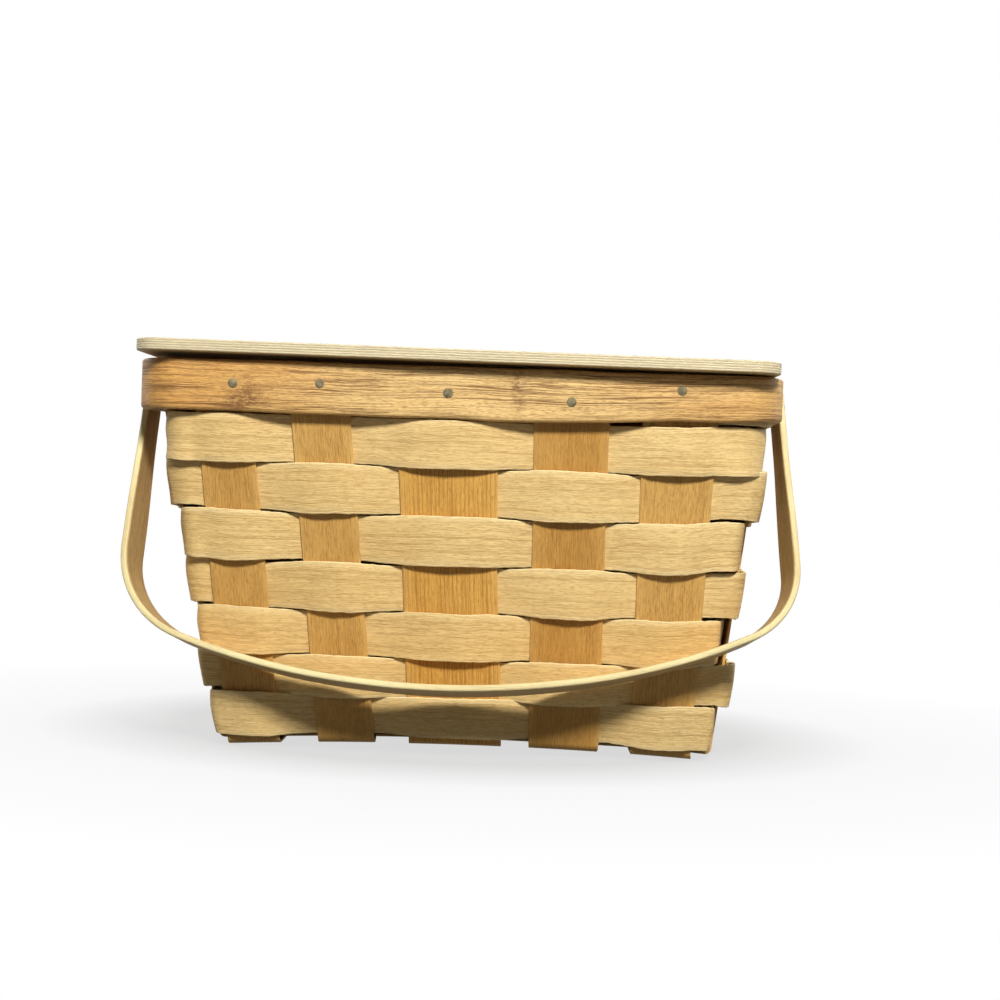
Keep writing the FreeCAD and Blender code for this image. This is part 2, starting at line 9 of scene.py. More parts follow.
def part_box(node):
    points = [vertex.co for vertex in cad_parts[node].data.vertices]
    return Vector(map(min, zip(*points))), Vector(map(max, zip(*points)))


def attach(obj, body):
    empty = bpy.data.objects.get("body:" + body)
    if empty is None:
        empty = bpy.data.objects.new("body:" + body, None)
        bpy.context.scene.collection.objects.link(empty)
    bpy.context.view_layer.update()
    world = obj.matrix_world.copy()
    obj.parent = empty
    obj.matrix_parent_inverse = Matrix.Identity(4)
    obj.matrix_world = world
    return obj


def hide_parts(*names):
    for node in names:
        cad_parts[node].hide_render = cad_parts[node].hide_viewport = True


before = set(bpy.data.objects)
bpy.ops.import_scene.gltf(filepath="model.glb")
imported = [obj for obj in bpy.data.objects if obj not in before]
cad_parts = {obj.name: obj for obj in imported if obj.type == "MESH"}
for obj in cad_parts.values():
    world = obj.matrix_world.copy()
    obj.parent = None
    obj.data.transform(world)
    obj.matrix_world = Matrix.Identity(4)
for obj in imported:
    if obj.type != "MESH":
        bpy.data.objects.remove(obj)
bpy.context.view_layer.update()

MM = 0.001
RNG = np.random.default_rng(41)

# Places and sizes of the frame's own pieces, in millimetres.
RIM_LOW, RIM_HIGH = (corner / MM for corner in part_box("outer_rim"))
LID_LOW, LID_HIGH = (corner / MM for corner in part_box("lid"))
RIM_HALF_LENGTH = RIM_HIGH.x
RIM_HALF_DEPTH = RIM_HIGH.y
RIM_BOTTOM = RIM_LOW.z
RIM_TOP = RIM_HIGH.z
ROWS = [tuple(corner.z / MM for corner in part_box("weaver_%d" % number)) for number in range(1, 8)]

# Sizes of the weave, in millimetres.
SPLINT = 1.5
OUTER_RIM = 5.0
INNER_RIM = 4.5
RIM_CORNER = 22.0
WEAVE_DEPTH = 1.5 * SPLINT
BASE_HALF_LENGTH = 128.8
BASE_HALF_DEPTH = 78.0
BASE_CORNER = 4.0
BASE_SHIFT = 6.5
TOP_HALF_LENGTH = RIM_HALF_LENGTH - OUTER_RIM - WEAVE_DEPTH
TOP_HALF_DEPTH = RIM_HALF_DEPTH - OUTER_RIM - WEAVE_DEPTH
TOP_CORNER = RIM_CORNER - OUTER_RIM - WEAVE_DEPTH
# Middle of each upright at the rim and at the base, as shares of the flat length there.
CROSS_TOP_SHARES = (-0.862, -0.515, -0.058, 0.396, 0.784)
CROSS_BASE_SHARES = (-0.873, -0.489, -0.038, 0.411, 0.815)
CROSS_TOP = [share * (TOP_HALF_LENGTH - TOP_CORNER) for share in CROSS_TOP_SHARES]
CROSS_BASE = [BASE_SHIFT + share * (BASE_HALF_LENGTH - BASE_CORNER) for share in CROSS_BASE_SHARES]
# Width of each upright at the rim and at the base, and how warm its wood is, from 0 to 1.
CROSS_WIDTH = ((28.6, 27.2), (30.2, 29.6), (50.0, 47.8), (38.0, 36.0), (38.4, 31.0))
CROSS_TONE = (0.35, 0.3, 0.45, 0.9, 0.05)
STRIPED_CROSS = 2
LONG_TONE = 0.5
# Places of the outer two long splints, and the width of all three.
LONG_TOP = 0.615 * (TOP_HALF_DEPTH - TOP_CORNER)
LONG_BASE = 0.622 * (BASE_HALF_DEPTH - BASE_CORNER)
LONG_WIDTH = 0.231 * 2 * BASE_HALF_DEPTH


def blend(low, high, share):
    return low + (high - low) * share


def eased(share):
    share = np.clip(share, 0.0, 1.0)
    return share * share * (3 - 2 * share)


# Half length, half depth, corner radius and shift along X of the middle of the wall at a height.
def wall(z):
    share = np.clip(np.asarray(z) / RIM_BOTTOM, 0.0, 1.0)
    return (
        blend(BASE_HALF_LENGTH, TOP_HALF_LENGTH, share),
        blend(BASE_HALF_DEPTH, TOP_HALF_DEPTH, share),
        blend(BASE_CORNER, TOP_CORNER, share),
        blend(BASE_SHIFT, 0.0, share),
    )


def cross_x(number, z):
    return blend(CROSS_BASE[number], CROSS_TOP[number], z / RIM_TOP)


def cross_width(number, z):
    at_rim, at_base = CROSS_WIDTH[number]
    return blend(at_base, at_rim, z / RIM_TOP)


def long_y(side, z):
    return side * blend(LONG_BASE, LONG_TOP, z / RIM_TOP)


# A smooth line through random values. An open line stops just short of the last of them.
SHORT_OF_LAST = 1.001


def smooth_noise(count, cells, closed=False):
    knots = RNG.normal(size=cells)
    end = cells if closed else cells - SHORT_OF_LAST
    places = np.linspace(0.0, end, count, endpoint=not closed)
    start = np.floor(places).astype(int)
    share = eased(places - start)
    return knots[start % cells] * (1 - share) + knots[(start + 1) % cells] * share


def gaussian(values, width, closed):
    reach = int(math.ceil(3 * width))
    kernel = np.exp(-0.5 * (np.arange(-reach, reach + 1) / width) ** 2)
    kernel /= kernel.sum()
    padded = np.pad(values, reach, mode="wrap" if closed else "edge")
    return np.convolve(padded, kernel, mode="valid")


def distance_along(points):
    steps = np.linalg.norm(np.diff(points, axis=0), axis=1)
    return np.concatenate([[0.0], np.cumsum(steps)])


# Lines across a strip with rounded long edges: the distance from its middle, and the share of the
# thickness that is left there.
EDGE_STEPS = np.array([0.0, 0.13, 0.5, 1.0])


def section(half_width, half_thickness, radius, between):
    rim = EDGE_STEPS * radius
    left = half_thickness - radius + np.sqrt(np.maximum(radius ** 2 - (radius - rim) ** 2, 0.0))
    inside = np.linspace(-half_width + radius, half_width - radius, between + 2)[1:-1]
    across = np.concatenate([-half_width + rim, inside, (half_width - rim)[::-1]])
    share = np.concatenate([left / half_thickness, np.ones(between), (left / half_thickness)[::-1]])
    return across, share


def add_mesh(name, vertices, faces, grain, **marks):
    mesh = bpy.data.meshes.new(name)
    mesh.from_pydata((vertices * MM).tolist(), [], faces)
    mesh.validate()
    shell = bmesh.new()
    shell.from_mesh(mesh)
    bmesh.ops.recalc_face_normals(shell, faces=shell.faces)
    shell.to_mesh(mesh)
    shell.free()
    layer = mesh.attributes.new("grain", "FLOAT_VECTOR", "POINT")
    layer.data.foreach_set("vector", (grain * MM).astype(np.float32).ravel())
    for label, values in marks.items():
        layer = mesh.attributes.new(label, "FLOAT", "POINT")
        layer.data.foreach_set("value", np.asarray(values).astype(np.float32).ravel())
    mesh.polygons.foreach_set("use_smooth", [True] * len(mesh.polygons))
    mesh.update()
    piece = bpy.data.objects.new(name, mesh)
    bpy.context.scene.collection.objects.link(piece)
    return piece


# The base is a little arched along its length, and the walls with it up to some height.
BASE_ARCH = 4.0
BASE_ARCH_REACH = 34.0
# How far each strip's grain is moved at most, so that no two look alike.
GRAIN_SHIFT = 900.0


# A strip of wood. Lines are (line across, station along, xyz) and normals (station along, xyz); outer
# and inner are the distances of the two faces from the lines. Edge_reach is how far in from its edges
# the edge colour reaches; on the weavers that colour is partly a painted highlight.
def strip(
    name, lines, normals, outer, inner, across, closed, edge_reach, tone=0.5, stain=0.0, arched=True
):
    lines, outer, inner = np.array(lines), np.array(outer), np.array(inner)
    count, stations = lines.shape[:2]
    if arched:
        arch = np.clip(1 - ((lines[..., 0] - BASE_SHIFT) / BASE_HALF_LENGTH) ** 2, 0, 1)
        lines[..., 2] += BASE_ARCH * arch * np.clip(1 - lines[..., 2] / BASE_ARCH_REACH, 0, 1)
    vertices = np.concatenate([lines + normals * face[..., None] for face in (outer, inner)])
    grain = np.zeros((2 * count, stations, 3))
    grain[..., 0] = distance_along(lines[count // 2])
    grain[..., 1] = np.tile(across, 2)[:, None]
    grain[..., 2] = np.concatenate([outer, inner])
    grain += RNG.uniform(0.0, GRAIN_SHIFT, 3)
    nearest = np.minimum(across - across.min(), across.max() - across)
    edge = np.clip(1 - nearest / edge_reach, 0, 1) ** 2
    edge = np.tile(edge[:, None], (2, stations))
    ring = list(range(count)) + list(range(2 * count - 1, count - 1, -1))
    last = stations if closed else stations - 1
    faces = []
    for low, high in zip(ring, ring[1:] + ring[:1]):
        for here in range(last):
            there = (here + 1) % stations
            faces.append((
                low * stations + here,
                low * stations + there,
                high * stations + there,
                high * stations + here,
            ))
    if not closed:
        for line in range(count - 1):
            corners = (line, line + 1, count + line + 1, count + line)
            a, b, c, d = (number * stations for number in corners)
            faces.append((a, b, c, d))
            faces.append((a + last, d + last, c + last, b + last))
    shape = (count, stations)
    tone, stain = (np.tile(np.broadcast_to(mark, shape), (2, 1)) for mark in (tone, stain))
    vertices = vertices.reshape(-1, 3)
    return add_mesh(name, vertices, faces, grain.reshape(-1, 3), edge=edge, tone=tone, stain=stain)


# Stations round a rectangle with rounded corners, from the middle of the back: place, outward
# direction, and the side that each station is on.
FRONT, RIGHT, BACK, LEFT, CORNER = range(5)
FRONT_STATIONS = 210
END_STATIONS = 130
CORNER_STATIONS = 14
LOOP_STATIONS = 2 * FRONT_STATIONS + 2 * END_STATIONS + 4 * CORNER_STATIONS


def loop(length, depth, corner, shift):
    flat_x = length - corner
    flat_y = depth - corner
    points, outward, sides = [], [], []

    def side(start, end, direction, count, number):
        for share in np.linspace(0, 1, count):
            points.append(blend(np.array(start), np.array(end), share))
            outward.append(direction)
            sides.append(number)

    def turn(x, y, first):
        for share in np.linspace(0, 1, CORNER_STATIONS + 2)[1:-1]:
            angle = math.radians(first + 90 * share)
            direction = np.array([math.cos(angle), math.sin(angle)])
            points.append(np.array([x, y]) + corner * direction)
            outward.append(direction)
            sides.append(CORNER)

    x0, x1 = shift - flat_x, shift + flat_x
    half = FRONT_STATIONS // 2
    side((shift, depth), (x0, depth), (0, 1), half, BACK)
    turn(x0, flat_y, 90)
    side((shift - length, flat_y), (shift - length, -flat_y), (-1, 0), END_STATIONS, LEFT)
    turn(x0, -flat_y, 180)
    side((x0, -depth), (x1, -depth), (0, -1), FRONT_STATIONS, FRONT)
    turn(x1, -flat_y, 270)
    side((shift + length, -flat_y), (shift + length, flat_y), (1, 0), END_STATIONS, RIGHT)
    turn(x1, flat_y, 0)
    side((x1, depth), (shift + 2 * flat_x / FRONT_STATIONS, depth), (0, 1), half, BACK)
    return np.array(points), np.array(outward, float), np.array(sides)


# A splint's rounded edges, the lines between them and how far in from the edges the edge colour
# reaches: pale worn wood, and on the weavers a painted highlight as well.
SPLINT_EDGE = 0.45
SPLINT_LINES = 7
SPLINT_EDGE_REACH = 1.2
# Distance of a weaver from the middle of the wall: outside the uprights that it passes over, with
# a soft bow between their edges, and inside the others.
OVER = 1.55
BOW_BASE = 1.5
BOW_SHARE = 0.085
INNER_BOW = -0.25
BOW_STOPS = (-1.0, -0.6, 0.0, 0.6, 1.0)
CLEARANCE = 0.8
# Width, in stations, over which a weaver's bends are softened, and how far its edges curl in.
WEAVE_SOFTNESS = 2.1
ROW_CUP = -0.12
# Share of its distance from the wall that a row keeps on the long walls up to the corners.
END_HOLD = 0.8
# The tables below have an entry for each row, and a last one for the hidden row behind the rim.
HIDDEN_ROW = 7
# How far each row draws in at the left and the right front corner, in all and then further at its
# upper and at its lower edge.
CORNER_PULL = (
    ((1.6, 5.0, -2.6), (-2.0, 1.2, -0.4)),
    ((0.3, 1.5, -0.7), (-3.0, 0.3, 0.6)),
    ((0.5, 2.9, -0.4), (2.0, 0.5, 0.4)),
    ((1.2, 2.0, -0.1), (-0.2, 0.2, 0.4)),
    ((-0.1, 4.2, 0.0), (4.2, 1.5, 0.5)),
    ((-0.7, 0.6, 0.2), (-3.0, 0.6, 0.4)),
    ((-1.1, 2.0, 0.8), (1.5, 1.4, 4.0)),
    ((0.0, 0.0, 0.0), (0.0, 0.0, 0.0)),
)
BACK_PULL = (0.8, 1.0, 1.0)
# How far each row's lower and upper edge have settled below their even places.
ROW_SETTLE = (
    (1.2, 1.6), (1.3, 1.2), (1.7, 1.6), (1.8, 2.0),
    (1.0, 2.0), (-1.8, 1.0), (0.3, -2.6), (0.0, 0.0),
)
# How far each row rises towards the left and the right front corner.
CORNER_LIFT = (
    (0.0, 1.2), (1.4, 3.0), (0.8, 2.8), (1.4, 1.9),
    (1.2, 1.4), (3.0, 2.0), (0.6, 0.5), (0.0, 0.0),
)
# Rows that are shorter towards the right front corner, and rows whose lower edge stands out at both
# ends of the front.
END_DRAW = {4: 3.2, 6: 0.6}
END_FLARE = {0: 2.2, 2: 1.5}
# How far a row's edges spread where it bows out, the share where it bows in, and how much further on
# the ends and the back.
EDGE_SPREAD = 0.95
INNER_SPREAD = -0.2
CLOSE_SPREAD = 0.4
CLOSE_RUN = 40.0
# Height and number of the waves of a row's edges and of the whole row, and its fine chips.
ROW_WAVE = 0.22
ROW_WAVES = 46
ROW_DRIFT = 0.14
ROW_DRIFTS = 12
EDGE_CHIP = 0.09
# Least and most warmth of a row's wood, and how it varies along a row or an upright.
ROW_TONES = (0.1, 0.6)
TONE_WAVE = 0.12
ROW_TONE_WAVES = 24
UPRIGHT_TONE_WAVES = 20


def pulled(level, lean, pull):
    return level - pull[0] - (pull[1] if lean > 0 else pull[2]) * lean ** 2


# Amounts at the left and the right front corner, which grow from the outermost uprights on.
def toward_corners(points, z, amounts):
    length, depth, corner, shift = wall(z)
    total = np.zeros(len(points))
    forward = eased((-points[:, 1] + long_y(-1, z)) / (depth - corner + long_y(-1, z)))
    for sign, number, amount in zip((-1, 1), (0, 4), amounts):
        inner = sign * cross_x(number, z)
        outer = length - corner + sign * shift
        total += amount * eased((sign * points[:, 0] - inner) / (outer - inner)) * forward
    return total


def weave_side(place, uprights, levels, ends):
    stops = [(ends[0], levels[0])]
    for middle, half, level in uprights:
        bow = (BOW_BASE + BOW_SHARE * half) * (1 if level > 0 else INNER_BOW)
        reach = half + CLEARANCE
        for share in BOW_STOPS:
            stops.append((middle + share * reach, level + bow * (1 - share ** 2)))
    stops.append((ends[1], levels[1]))
    stops.sort()
    return np.interp(place, *zip(*stops))


# A row. Order is 1 where it passes over the first upright and -1 where it passes under it.
def weaver(name, bottom, top, order, row, cup):
    bottom -= ROW_SETTLE[row][0]
    top -= ROW_SETTLE[row][1]
    total = LOOP_STATIONS
    across, share = section((top - bottom) / 2, SPLINT / 2, SPLINT_EDGE, SPLINT_LINES)
    low_wave = ROW_WAVE * smooth_noise(total, ROW_WAVES, True)
    high_wave = ROW_WAVE * smooth_noise(total, ROW_WAVES, True)
    drift = ROW_DRIFT * smooth_noise(total, ROW_DRIFTS, True)
    low_wave += EDGE_CHIP * smooth_noise(total, total // 2, True)
    high_wave += EDGE_CHIP * smooth_noise(total, total // 2, True)
    lines = []
    for distance in across:
        z = (bottom + top) / 2 + distance
        length, depth, corner, shift = wall(z)
        points, outward, sides = loop(length, depth, corner, shift)
        lean = distance / across[-1]
        left, right = (pulled(-order * OVER, lean, pull) for pull in CORNER_PULL[row])
        back = left if row == HIDDEN_ROW else pulled(-order * OVER, lean, BACK_PULL)
        hold = left if row == HIDDEN_ROW else order * OVER * END_HOLD
        front_hold = hold + END_FLARE.get(row, 0.0) * min(lean, 0.0) ** 2
        offset = np.where(points[:, 1] > 0, back, np.where(points[:, 0] < shift, left, right))
        offset = blend(np.where(points[:, 1] < 0, front_hold, hold), offset, outward[:, 0] ** 2)
        uprights = []
        for number in range(5):
            level = order * (OVER if number % 2 == 0 else -OVER)
            uprights.append((cross_x(number, z), cross_width(number, z) / 2, level))
        ends = (shift - length + corner, shift + length - corner)
        for number, level in ((FRONT, front_hold), (BACK, hold)):
            chosen = sides == number
            offset[chosen] = weave_side(points[chosen, 0], uprights, (level, level), ends)
        uprights = []
        for number in (-1, 0, 1):
            level = order * (OVER if number == 0 else -OVER)
            uprights.append((long_y(number, z), LONG_WIDTH / 2, level))
        ends = (corner - depth, depth - corner)
        for number, level in ((RIGHT, right), (LEFT, left)):
            chosen = sides == number
            offset[chosen] = weave_side(points[chosen, 1], uprights, (level, back), ends)
        offset = gaussian(offset, WEAVE_SOFTNESS, True)
        rise = toward_corners(points, z, CORNER_LIFT[row])
        draw = toward_corners(points, z, (0.0, END_DRAW.get(row, 0.0)))
        points = points + outward * (offset + cup * lean ** 2)[:, None]
        points[:, 0] -= draw
        spread = EDGE_SPREAD * np.clip(offset / (2 * OVER), INNER_SPREAD, 1)
        spread += CLOSE_SPREAD * eased((points[:, 1] + depth) / CLOSE_RUN)
        spread *= lean * abs(lean)
        if row == HIDDEN_ROW or (row == 0 and lean > 0):
            spread = 0.0
        height = z + drift + blend(low_wave, high_wave, (1 + lean) / 2) + spread + rise
        lines.append(np.column_stack([points, height]))
    normals = np.column_stack([outward, np.zeros(total)])
    thickness = SPLINT / 2 * share[:, None]
    tone = RNG.uniform(*ROW_TONES) + TONE_WAVE * smooth_noise(total, ROW_TONE_WAVES, True)
    piece = strip(name, lines, normals, thickness, -thickness, across, True, SPLINT_EDGE_REACH, tone)
    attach(piece, "basket_body")
    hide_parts(name)
    return piece


# Stations of an upright, how far its ends stay under the rim's top, its bends at the base, and the
# room beside a splint that it crosses there.
BEND_STATIONS = 10
WALL_STATIONS = 70
BASE_STATIONS = 120
BASE_SOFTNESS = 1.2
UPRIGHT_SHORT = 0.3
CROSS_BEND = 4.5
LONG_BEND = 3.0
CROSSING_ROOM = 0.4
# Height and number of the waves of its faces and of its edges.
UPRIGHT_RIPPLE = 0.11
UPRIGHT_RIPPLES = 26
UPRIGHT_WAVE = 0.25
UPRIGHT_WAVES = 22


# Middle line of an upright: down one wall, over the base and up the other wall. Crossings are places
# on the base and the heights there.
def upright_path(foot_low, foot_high, top, base, radius, crossings):
    sides = []
    for sign, foot in ((-1, foot_low), (1, foot_high)):
        slope = (top - sign * foot) / RIM_BOTTOM
        slant = math.hypot(1, slope)
        height = base + radius
        centre = foot + sign * slope * height - sign * radius * slant
        wall_place = centre + sign * radius / slant
        wall_height = height - radius * slope / slant
        z = np.linspace(RIM_TOP - UPRIGHT_SHORT, wall_height, WALL_STATIONS)
        y = np.interp(z, [wall_height, RIM_BOTTOM, RIM_TOP], [wall_place, sign * top, sign * top])
        outward = math.atan2(-slope / slant, sign / slant)
        if sign < 0 and outward > 0:
            outward -= 2 * math.pi
        turn = np.linspace(outward, -math.pi / 2, BEND_STATIONS + 2)[1:]
        bend = np.column_stack([centre + radius * np.cos(turn), height + radius * np.sin(turn)])
        sides.append(np.concatenate([np.column_stack([y, z]), bend]))
    low, high = sides
    knots = np.array([(low[-1, 0], base)] + crossings + [(high[-1, 0], base)])
    y = np.linspace(low[-1, 0], high[-1, 0], BASE_STATIONS + 2)[1:-1]
    z = gaussian(np.interp(y, knots[:, 0], knots[:, 1]), BASE_SOFTNESS, False)
    return np.concatenate([low, np.column_stack([y, z]), high[::-1]])


# Axes gives the order of the columns across, along and up as X, Y and Z.
def upright(name, path, centre, width, axes, warmth):
    across, share = section(width(RIM_TOP) / 2, SPLINT / 2, SPLINT_EDGE, SPLINT_LINES)
    count = len(path)
    step = np.gradient(path, axis=0)
    step /= np.linalg.norm(step, axis=1)[:, None]
    outward = np.column_stack([step[:, 1], -step[:, 0]])
    if outward[count // 2, 1] > 0:
        outward = -outward
    ripple = UPRIGHT_RIPPLE * smooth_noise(count, UPRIGHT_RIPPLES)
    left_wave = UPRIGHT_WAVE * smooth_noise(count, UPRIGHT_WAVES)
    right_wave = UPRIGHT_WAVE * smooth_noise(count, UPRIGHT_WAVES)
    place = path + outward * ripple[:, None]
    middle = centre(path[:, 1])
    narrowing = width(path[:, 1]) / width(RIM_TOP)
    lines = []
    for distance in across:
        wave = blend(left_wave, right_wave, (1 + distance / across[-1]) / 2)
        side = middle + distance * narrowing + wave
        lines.append(np.column_stack([side, place])[:, axes])
    normals = np.column_stack([np.zeros(count), outward])[:, axes]
    thickness = SPLINT / 2 * share[:, None]
    tone = warmth + TONE_WAVE * smooth_noise(count, UPRIGHT_TONE_WAVES)
    piece = strip(name, lines, normals, thickness, -thickness, across, False, SPLINT_EDGE_REACH, tone)
    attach(piece, "basket_body")
    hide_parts(name)
    return piece


def cross_upright(number):
    low = SPLINT / 2
    high = low + 2 * SPLINT
    reach = LONG_WIDTH / 2 + CROSSING_ROOM
    crossings = []
    for side in (-1, 0, 1):
        over = (number % 2 == 1) if side else (number % 2 == 0)
        height = high if over else low
        crossings.append((long_y(side, 0) - reach, height))
        crossings.append((long_y(side, 0) + reach, height))
    foot = BASE_HALF_DEPTH
    path = upright_path(-foot, foot, TOP_HALF_DEPTH, low, CROSS_BEND, crossings)
    return upright(
        "cross_splint_%d" % (number + 1),
        path,
        lambda z: cross_x(number, z),
        lambda z: cross_width(number, z),
        [0, 1, 2],
        CROSS_TONE[number],
    )


def long_upright(side, name):
    low = BASE_SHIFT - BASE_HALF_LENGTH
    high = BASE_SHIFT + BASE_HALF_LENGTH
    path = upright_path(low, high, TOP_HALF_LENGTH, WEAVE_DEPTH, LONG_BEND, [])
    return upright(name, path, lambda z: long_y(side, z), lambda z: LONG_WIDTH, [1, 0, 2], LONG_TONE)


# A hoop of the rim: one bent strip whose two tapered ends lap at the back.
LAP = 70.0
LAP_TIP = 0.02
LAP_GAP = 0.02
RIM_EDGE = 1.8
RIM_LINES = 11
RIM_EDGE_REACH = 1.5
# How far the front's lower edge sags, and how far the hoop swells at its left front corner.
RIM_SAG = 1.3
RIM_SWELL = 1.2
RIM_SWELL_RUN = 9.0
# The rim gets narrower towards its right front corner.
RIM_RISE = 2.6
RIM_RISE_FROM = 30.0
# Height and number of the waves of the rim's upper edge, lower edge and outer face.
RIM_TOP_WAVE = 0.18
RIM_TOP_MOST = 0.2
RIM_LOW_WAVE = 0.25
RIM_EDGE_WAVES = 40
RIM_FACE_WAVE = 0.1
RIM_FACE_WAVES = 30
# Warmth of the rim's wood along its front, and its dark marks: x, z, half width, half height, depth.
RIM_TONES = (
    (-170, 0.95), (-120, 0.8), (-70, 0.45), (-20, 0.05),
    (30, 0.1), (75, 0.25), (115, 0.4), (170, 0.6),
)
RIM_MARKS = (
    (-107, 180, 7, 5, 0.9), (-113, 175, 5, 3, 0.7), (29, 184, 2.2, 9, 0.75), (27, 191, 6, 3, 0.5),
    (128, 173, 14, 1.8, 0.7), (-158, 173, 7, 5, 0.75), (60, 178, 9, 2, 0.35), (-60, 189, 12, 1.6, 0.3),
)


def rim(name, face_inset, thickness, sag):
    half = thickness / 2
    inset = face_inset + half
    corner = RIM_CORNER - inset
    length = RIM_HALF_LENGTH - inset
    points, outward, _ = loop(length, RIM_HALF_DEPTH - inset, corner, 0.0)
    lap = int(LAP / (2 * (length - corner) / FRONT_STATIONS))
    points = np.concatenate([points, points[:lap]])
    outward = np.concatenate([outward, outward[:lap]])
    swell = (points[:, 1] + RIM_HALF_DEPTH - RIM_CORNER) / RIM_SWELL_RUN
    swell = RIM_SWELL * np.exp(-0.5 * swell ** 2) * (points[:, 0] < 0)
    points += outward * swell[:, None]
    x, y = points.T
    count = len(points)
    across, share = section((RIM_TOP - RIM_BOTTOM) / 2, half, RIM_EDGE, RIM_LINES)
    top_wave = np.minimum(RIM_TOP_WAVE * smooth_noise(count, RIM_EDGE_WAVES), RIM_TOP_MOST)
    low_wave = RIM_LOW_WAVE * smooth_noise(count, RIM_EDGE_WAVES)
    face_wave = RIM_FACE_WAVE * smooth_noise(count, RIM_FACE_WAVES) * (face_inset == 0)
    droop = sag * np.clip(1 - (x / RIM_HALF_LENGTH) ** 2, 0, 1) * (y < 0)
    rise = RIM_RISE * eased((x - RIM_RISE_FROM) / (RIM_HALF_LENGTH - RIM_CORNER - RIM_RISE_FROM))
    droop -= rise * eased(-y / (RIM_HALF_DEPTH - RIM_CORNER))
    taper = np.linspace(LAP_TIP, 1, lap)
    lines, outer, inner = [], [], []
    for distance, part in zip(across, share):
        wave = blend(low_wave - droop, top_wave, (1 + distance / across[-1]) / 2)
        lines.append(np.column_stack([points, (RIM_TOP + RIM_BOTTOM) / 2 + distance + wave]))
        outside = half * part + face_wave
        inside = np.full(count, -half * part)
        outside[:lap] = -half + (outside[:lap] + half) * taper - LAP_GAP
        inside[-lap:] = -half + thickness * taper * (outside[-lap:] / half) + LAP_GAP
        outer.append(outside)
        inner.append(np.minimum(inside, outside - LAP_GAP))
    lines = np.array(lines)
    normals = np.column_stack([outward, np.zeros(count)])
    tone = np.interp(lines[..., 0], *zip(*RIM_TONES))
    stain = np.zeros(lines.shape[:2])
    for mark_x, mark_z, wide, high, depth in RIM_MARKS:
        far = ((lines[..., 0] - mark_x) / wide) ** 2 + ((lines[..., 2] - mark_z) / high) ** 2
        stain += depth * np.exp(-0.5 * far) * (lines[..., 1] < 0)
    piece = strip(name, lines, normals, outer, inner, across, False, RIM_EDGE_REACH, tone, stain)
    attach(piece, "basket_body")
    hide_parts(name)
    return piece


# The handles' hoop, in millimetres and degrees: outer is from the middle to a leg's outer face, reach
# from the pivots to the grip, and arch the radius of the grip.
HANDLE_WIDTH = 25.0
HANDLE_THICKNESS = 3.4
HANDLE_OUTER = 168.4
HANDLE_REACH = 161.2
HANDLE_ARCH = 395.0
HANDLE_CORNER = {-1: 49.0, 1: 41.0}
HANDLE_SKEW = 5.0
HANDLE_FLARE = 1.2
HANDLE_LEAN = 1.2
HANDLE_ANGLE = 22.0
PIVOT_SPACING = 52.45
PIVOT_HEIGHT = RIM_TOP - 12.5
ARCH_CENTRE = np.array([-HANDLE_SKEW, HANDLE_ARCH - HANDLE_REACH])
TIP_STATIONS = 26
TIP_RUN = 26.0
LEG_STATIONS = 60
HOOP_CORNER_STATIONS = 34
GRIP_STATIONS = 170
HANDLE_EDGE = 1.0
HANDLE_LINES = 9
HANDLE_EDGE_REACH = 1.6
# The legs' round ends: by how much their radius is less than half the width, and the least square left.
TIP_TRIM = 0.4
TIP_LEAST = 0.3
# How far the grip is twisted, in degrees, and bowed towards the basket, with its two ends further in.
HANDLE_ROLL = 7.0
ROLL_GAIN = 1.2
HANDLE_BOW = 5.0
HANDLE_END_BOW = 3.5
HANDLE_BOW_FROM = 160.0
HANDLE_BOW_RUN = 40.0
HANDLE_END_FROM = 40.0
HANDLE_END_RUN = 50.0
# How far the legs turn their inner faces to the front below the rim, in degrees.
LEG_TWIST = 6.0
LEG_TWIST_FROM = 35.0
LEG_TWIST_RUN = 60.0
# Unevenness of the hoop away from its ends.
HANDLE_WAVE = 0.25
HANDLE_WAVES = 18
HANDLE_WAVE_FROM = 24.0
HANDLE_WAVE_RUN = 40.0
HALF_TURN = np.array([-1.0, -1.0, 1.0])


# One side of the hoop: its pivot, the directions along the leg and inwards, the centre of its corner,
# and the direction to that from the centre of the arch.
def hoop_side(side):
    slant = math.radians(side * HANDLE_FLARE + HANDLE_LEAN)
    along = np.array([math.sin(slant), -math.cos(slant)])
    inward = -side * np.array([math.cos(slant), math.sin(slant)])
    foot = np.array([side * HANDLE_OUTER, 0.0])
    start = foot + inward * HANDLE_CORNER[side] - ARCH_CENTRE
    reach = HANDLE_ARCH - HANDLE_CORNER[side]
    drop = start @ along
    length = -drop + math.sqrt(drop ** 2 - start @ start + reach ** 2)
    centre = foot + inward * HANDLE_CORNER[side] + along * length
    toward = (centre - ARCH_CENTRE) / np.linalg.norm(centre - ARCH_CENTRE)
    return foot, along, inward, centre, toward


def arc(centre, radius, start, end, count):
    first = math.atan2(start[1], start[0])
    turn = math.atan2(end[1], end[0]) - first
    turn = (turn + math.pi) % (2 * math.pi) - math.pi
    angles = first + turn * np.linspace(0, 1, count + 2)[1:-1]
    directions = np.column_stack([np.cos(angles), np.sin(angles)])
    return centre + radius * directions, directions


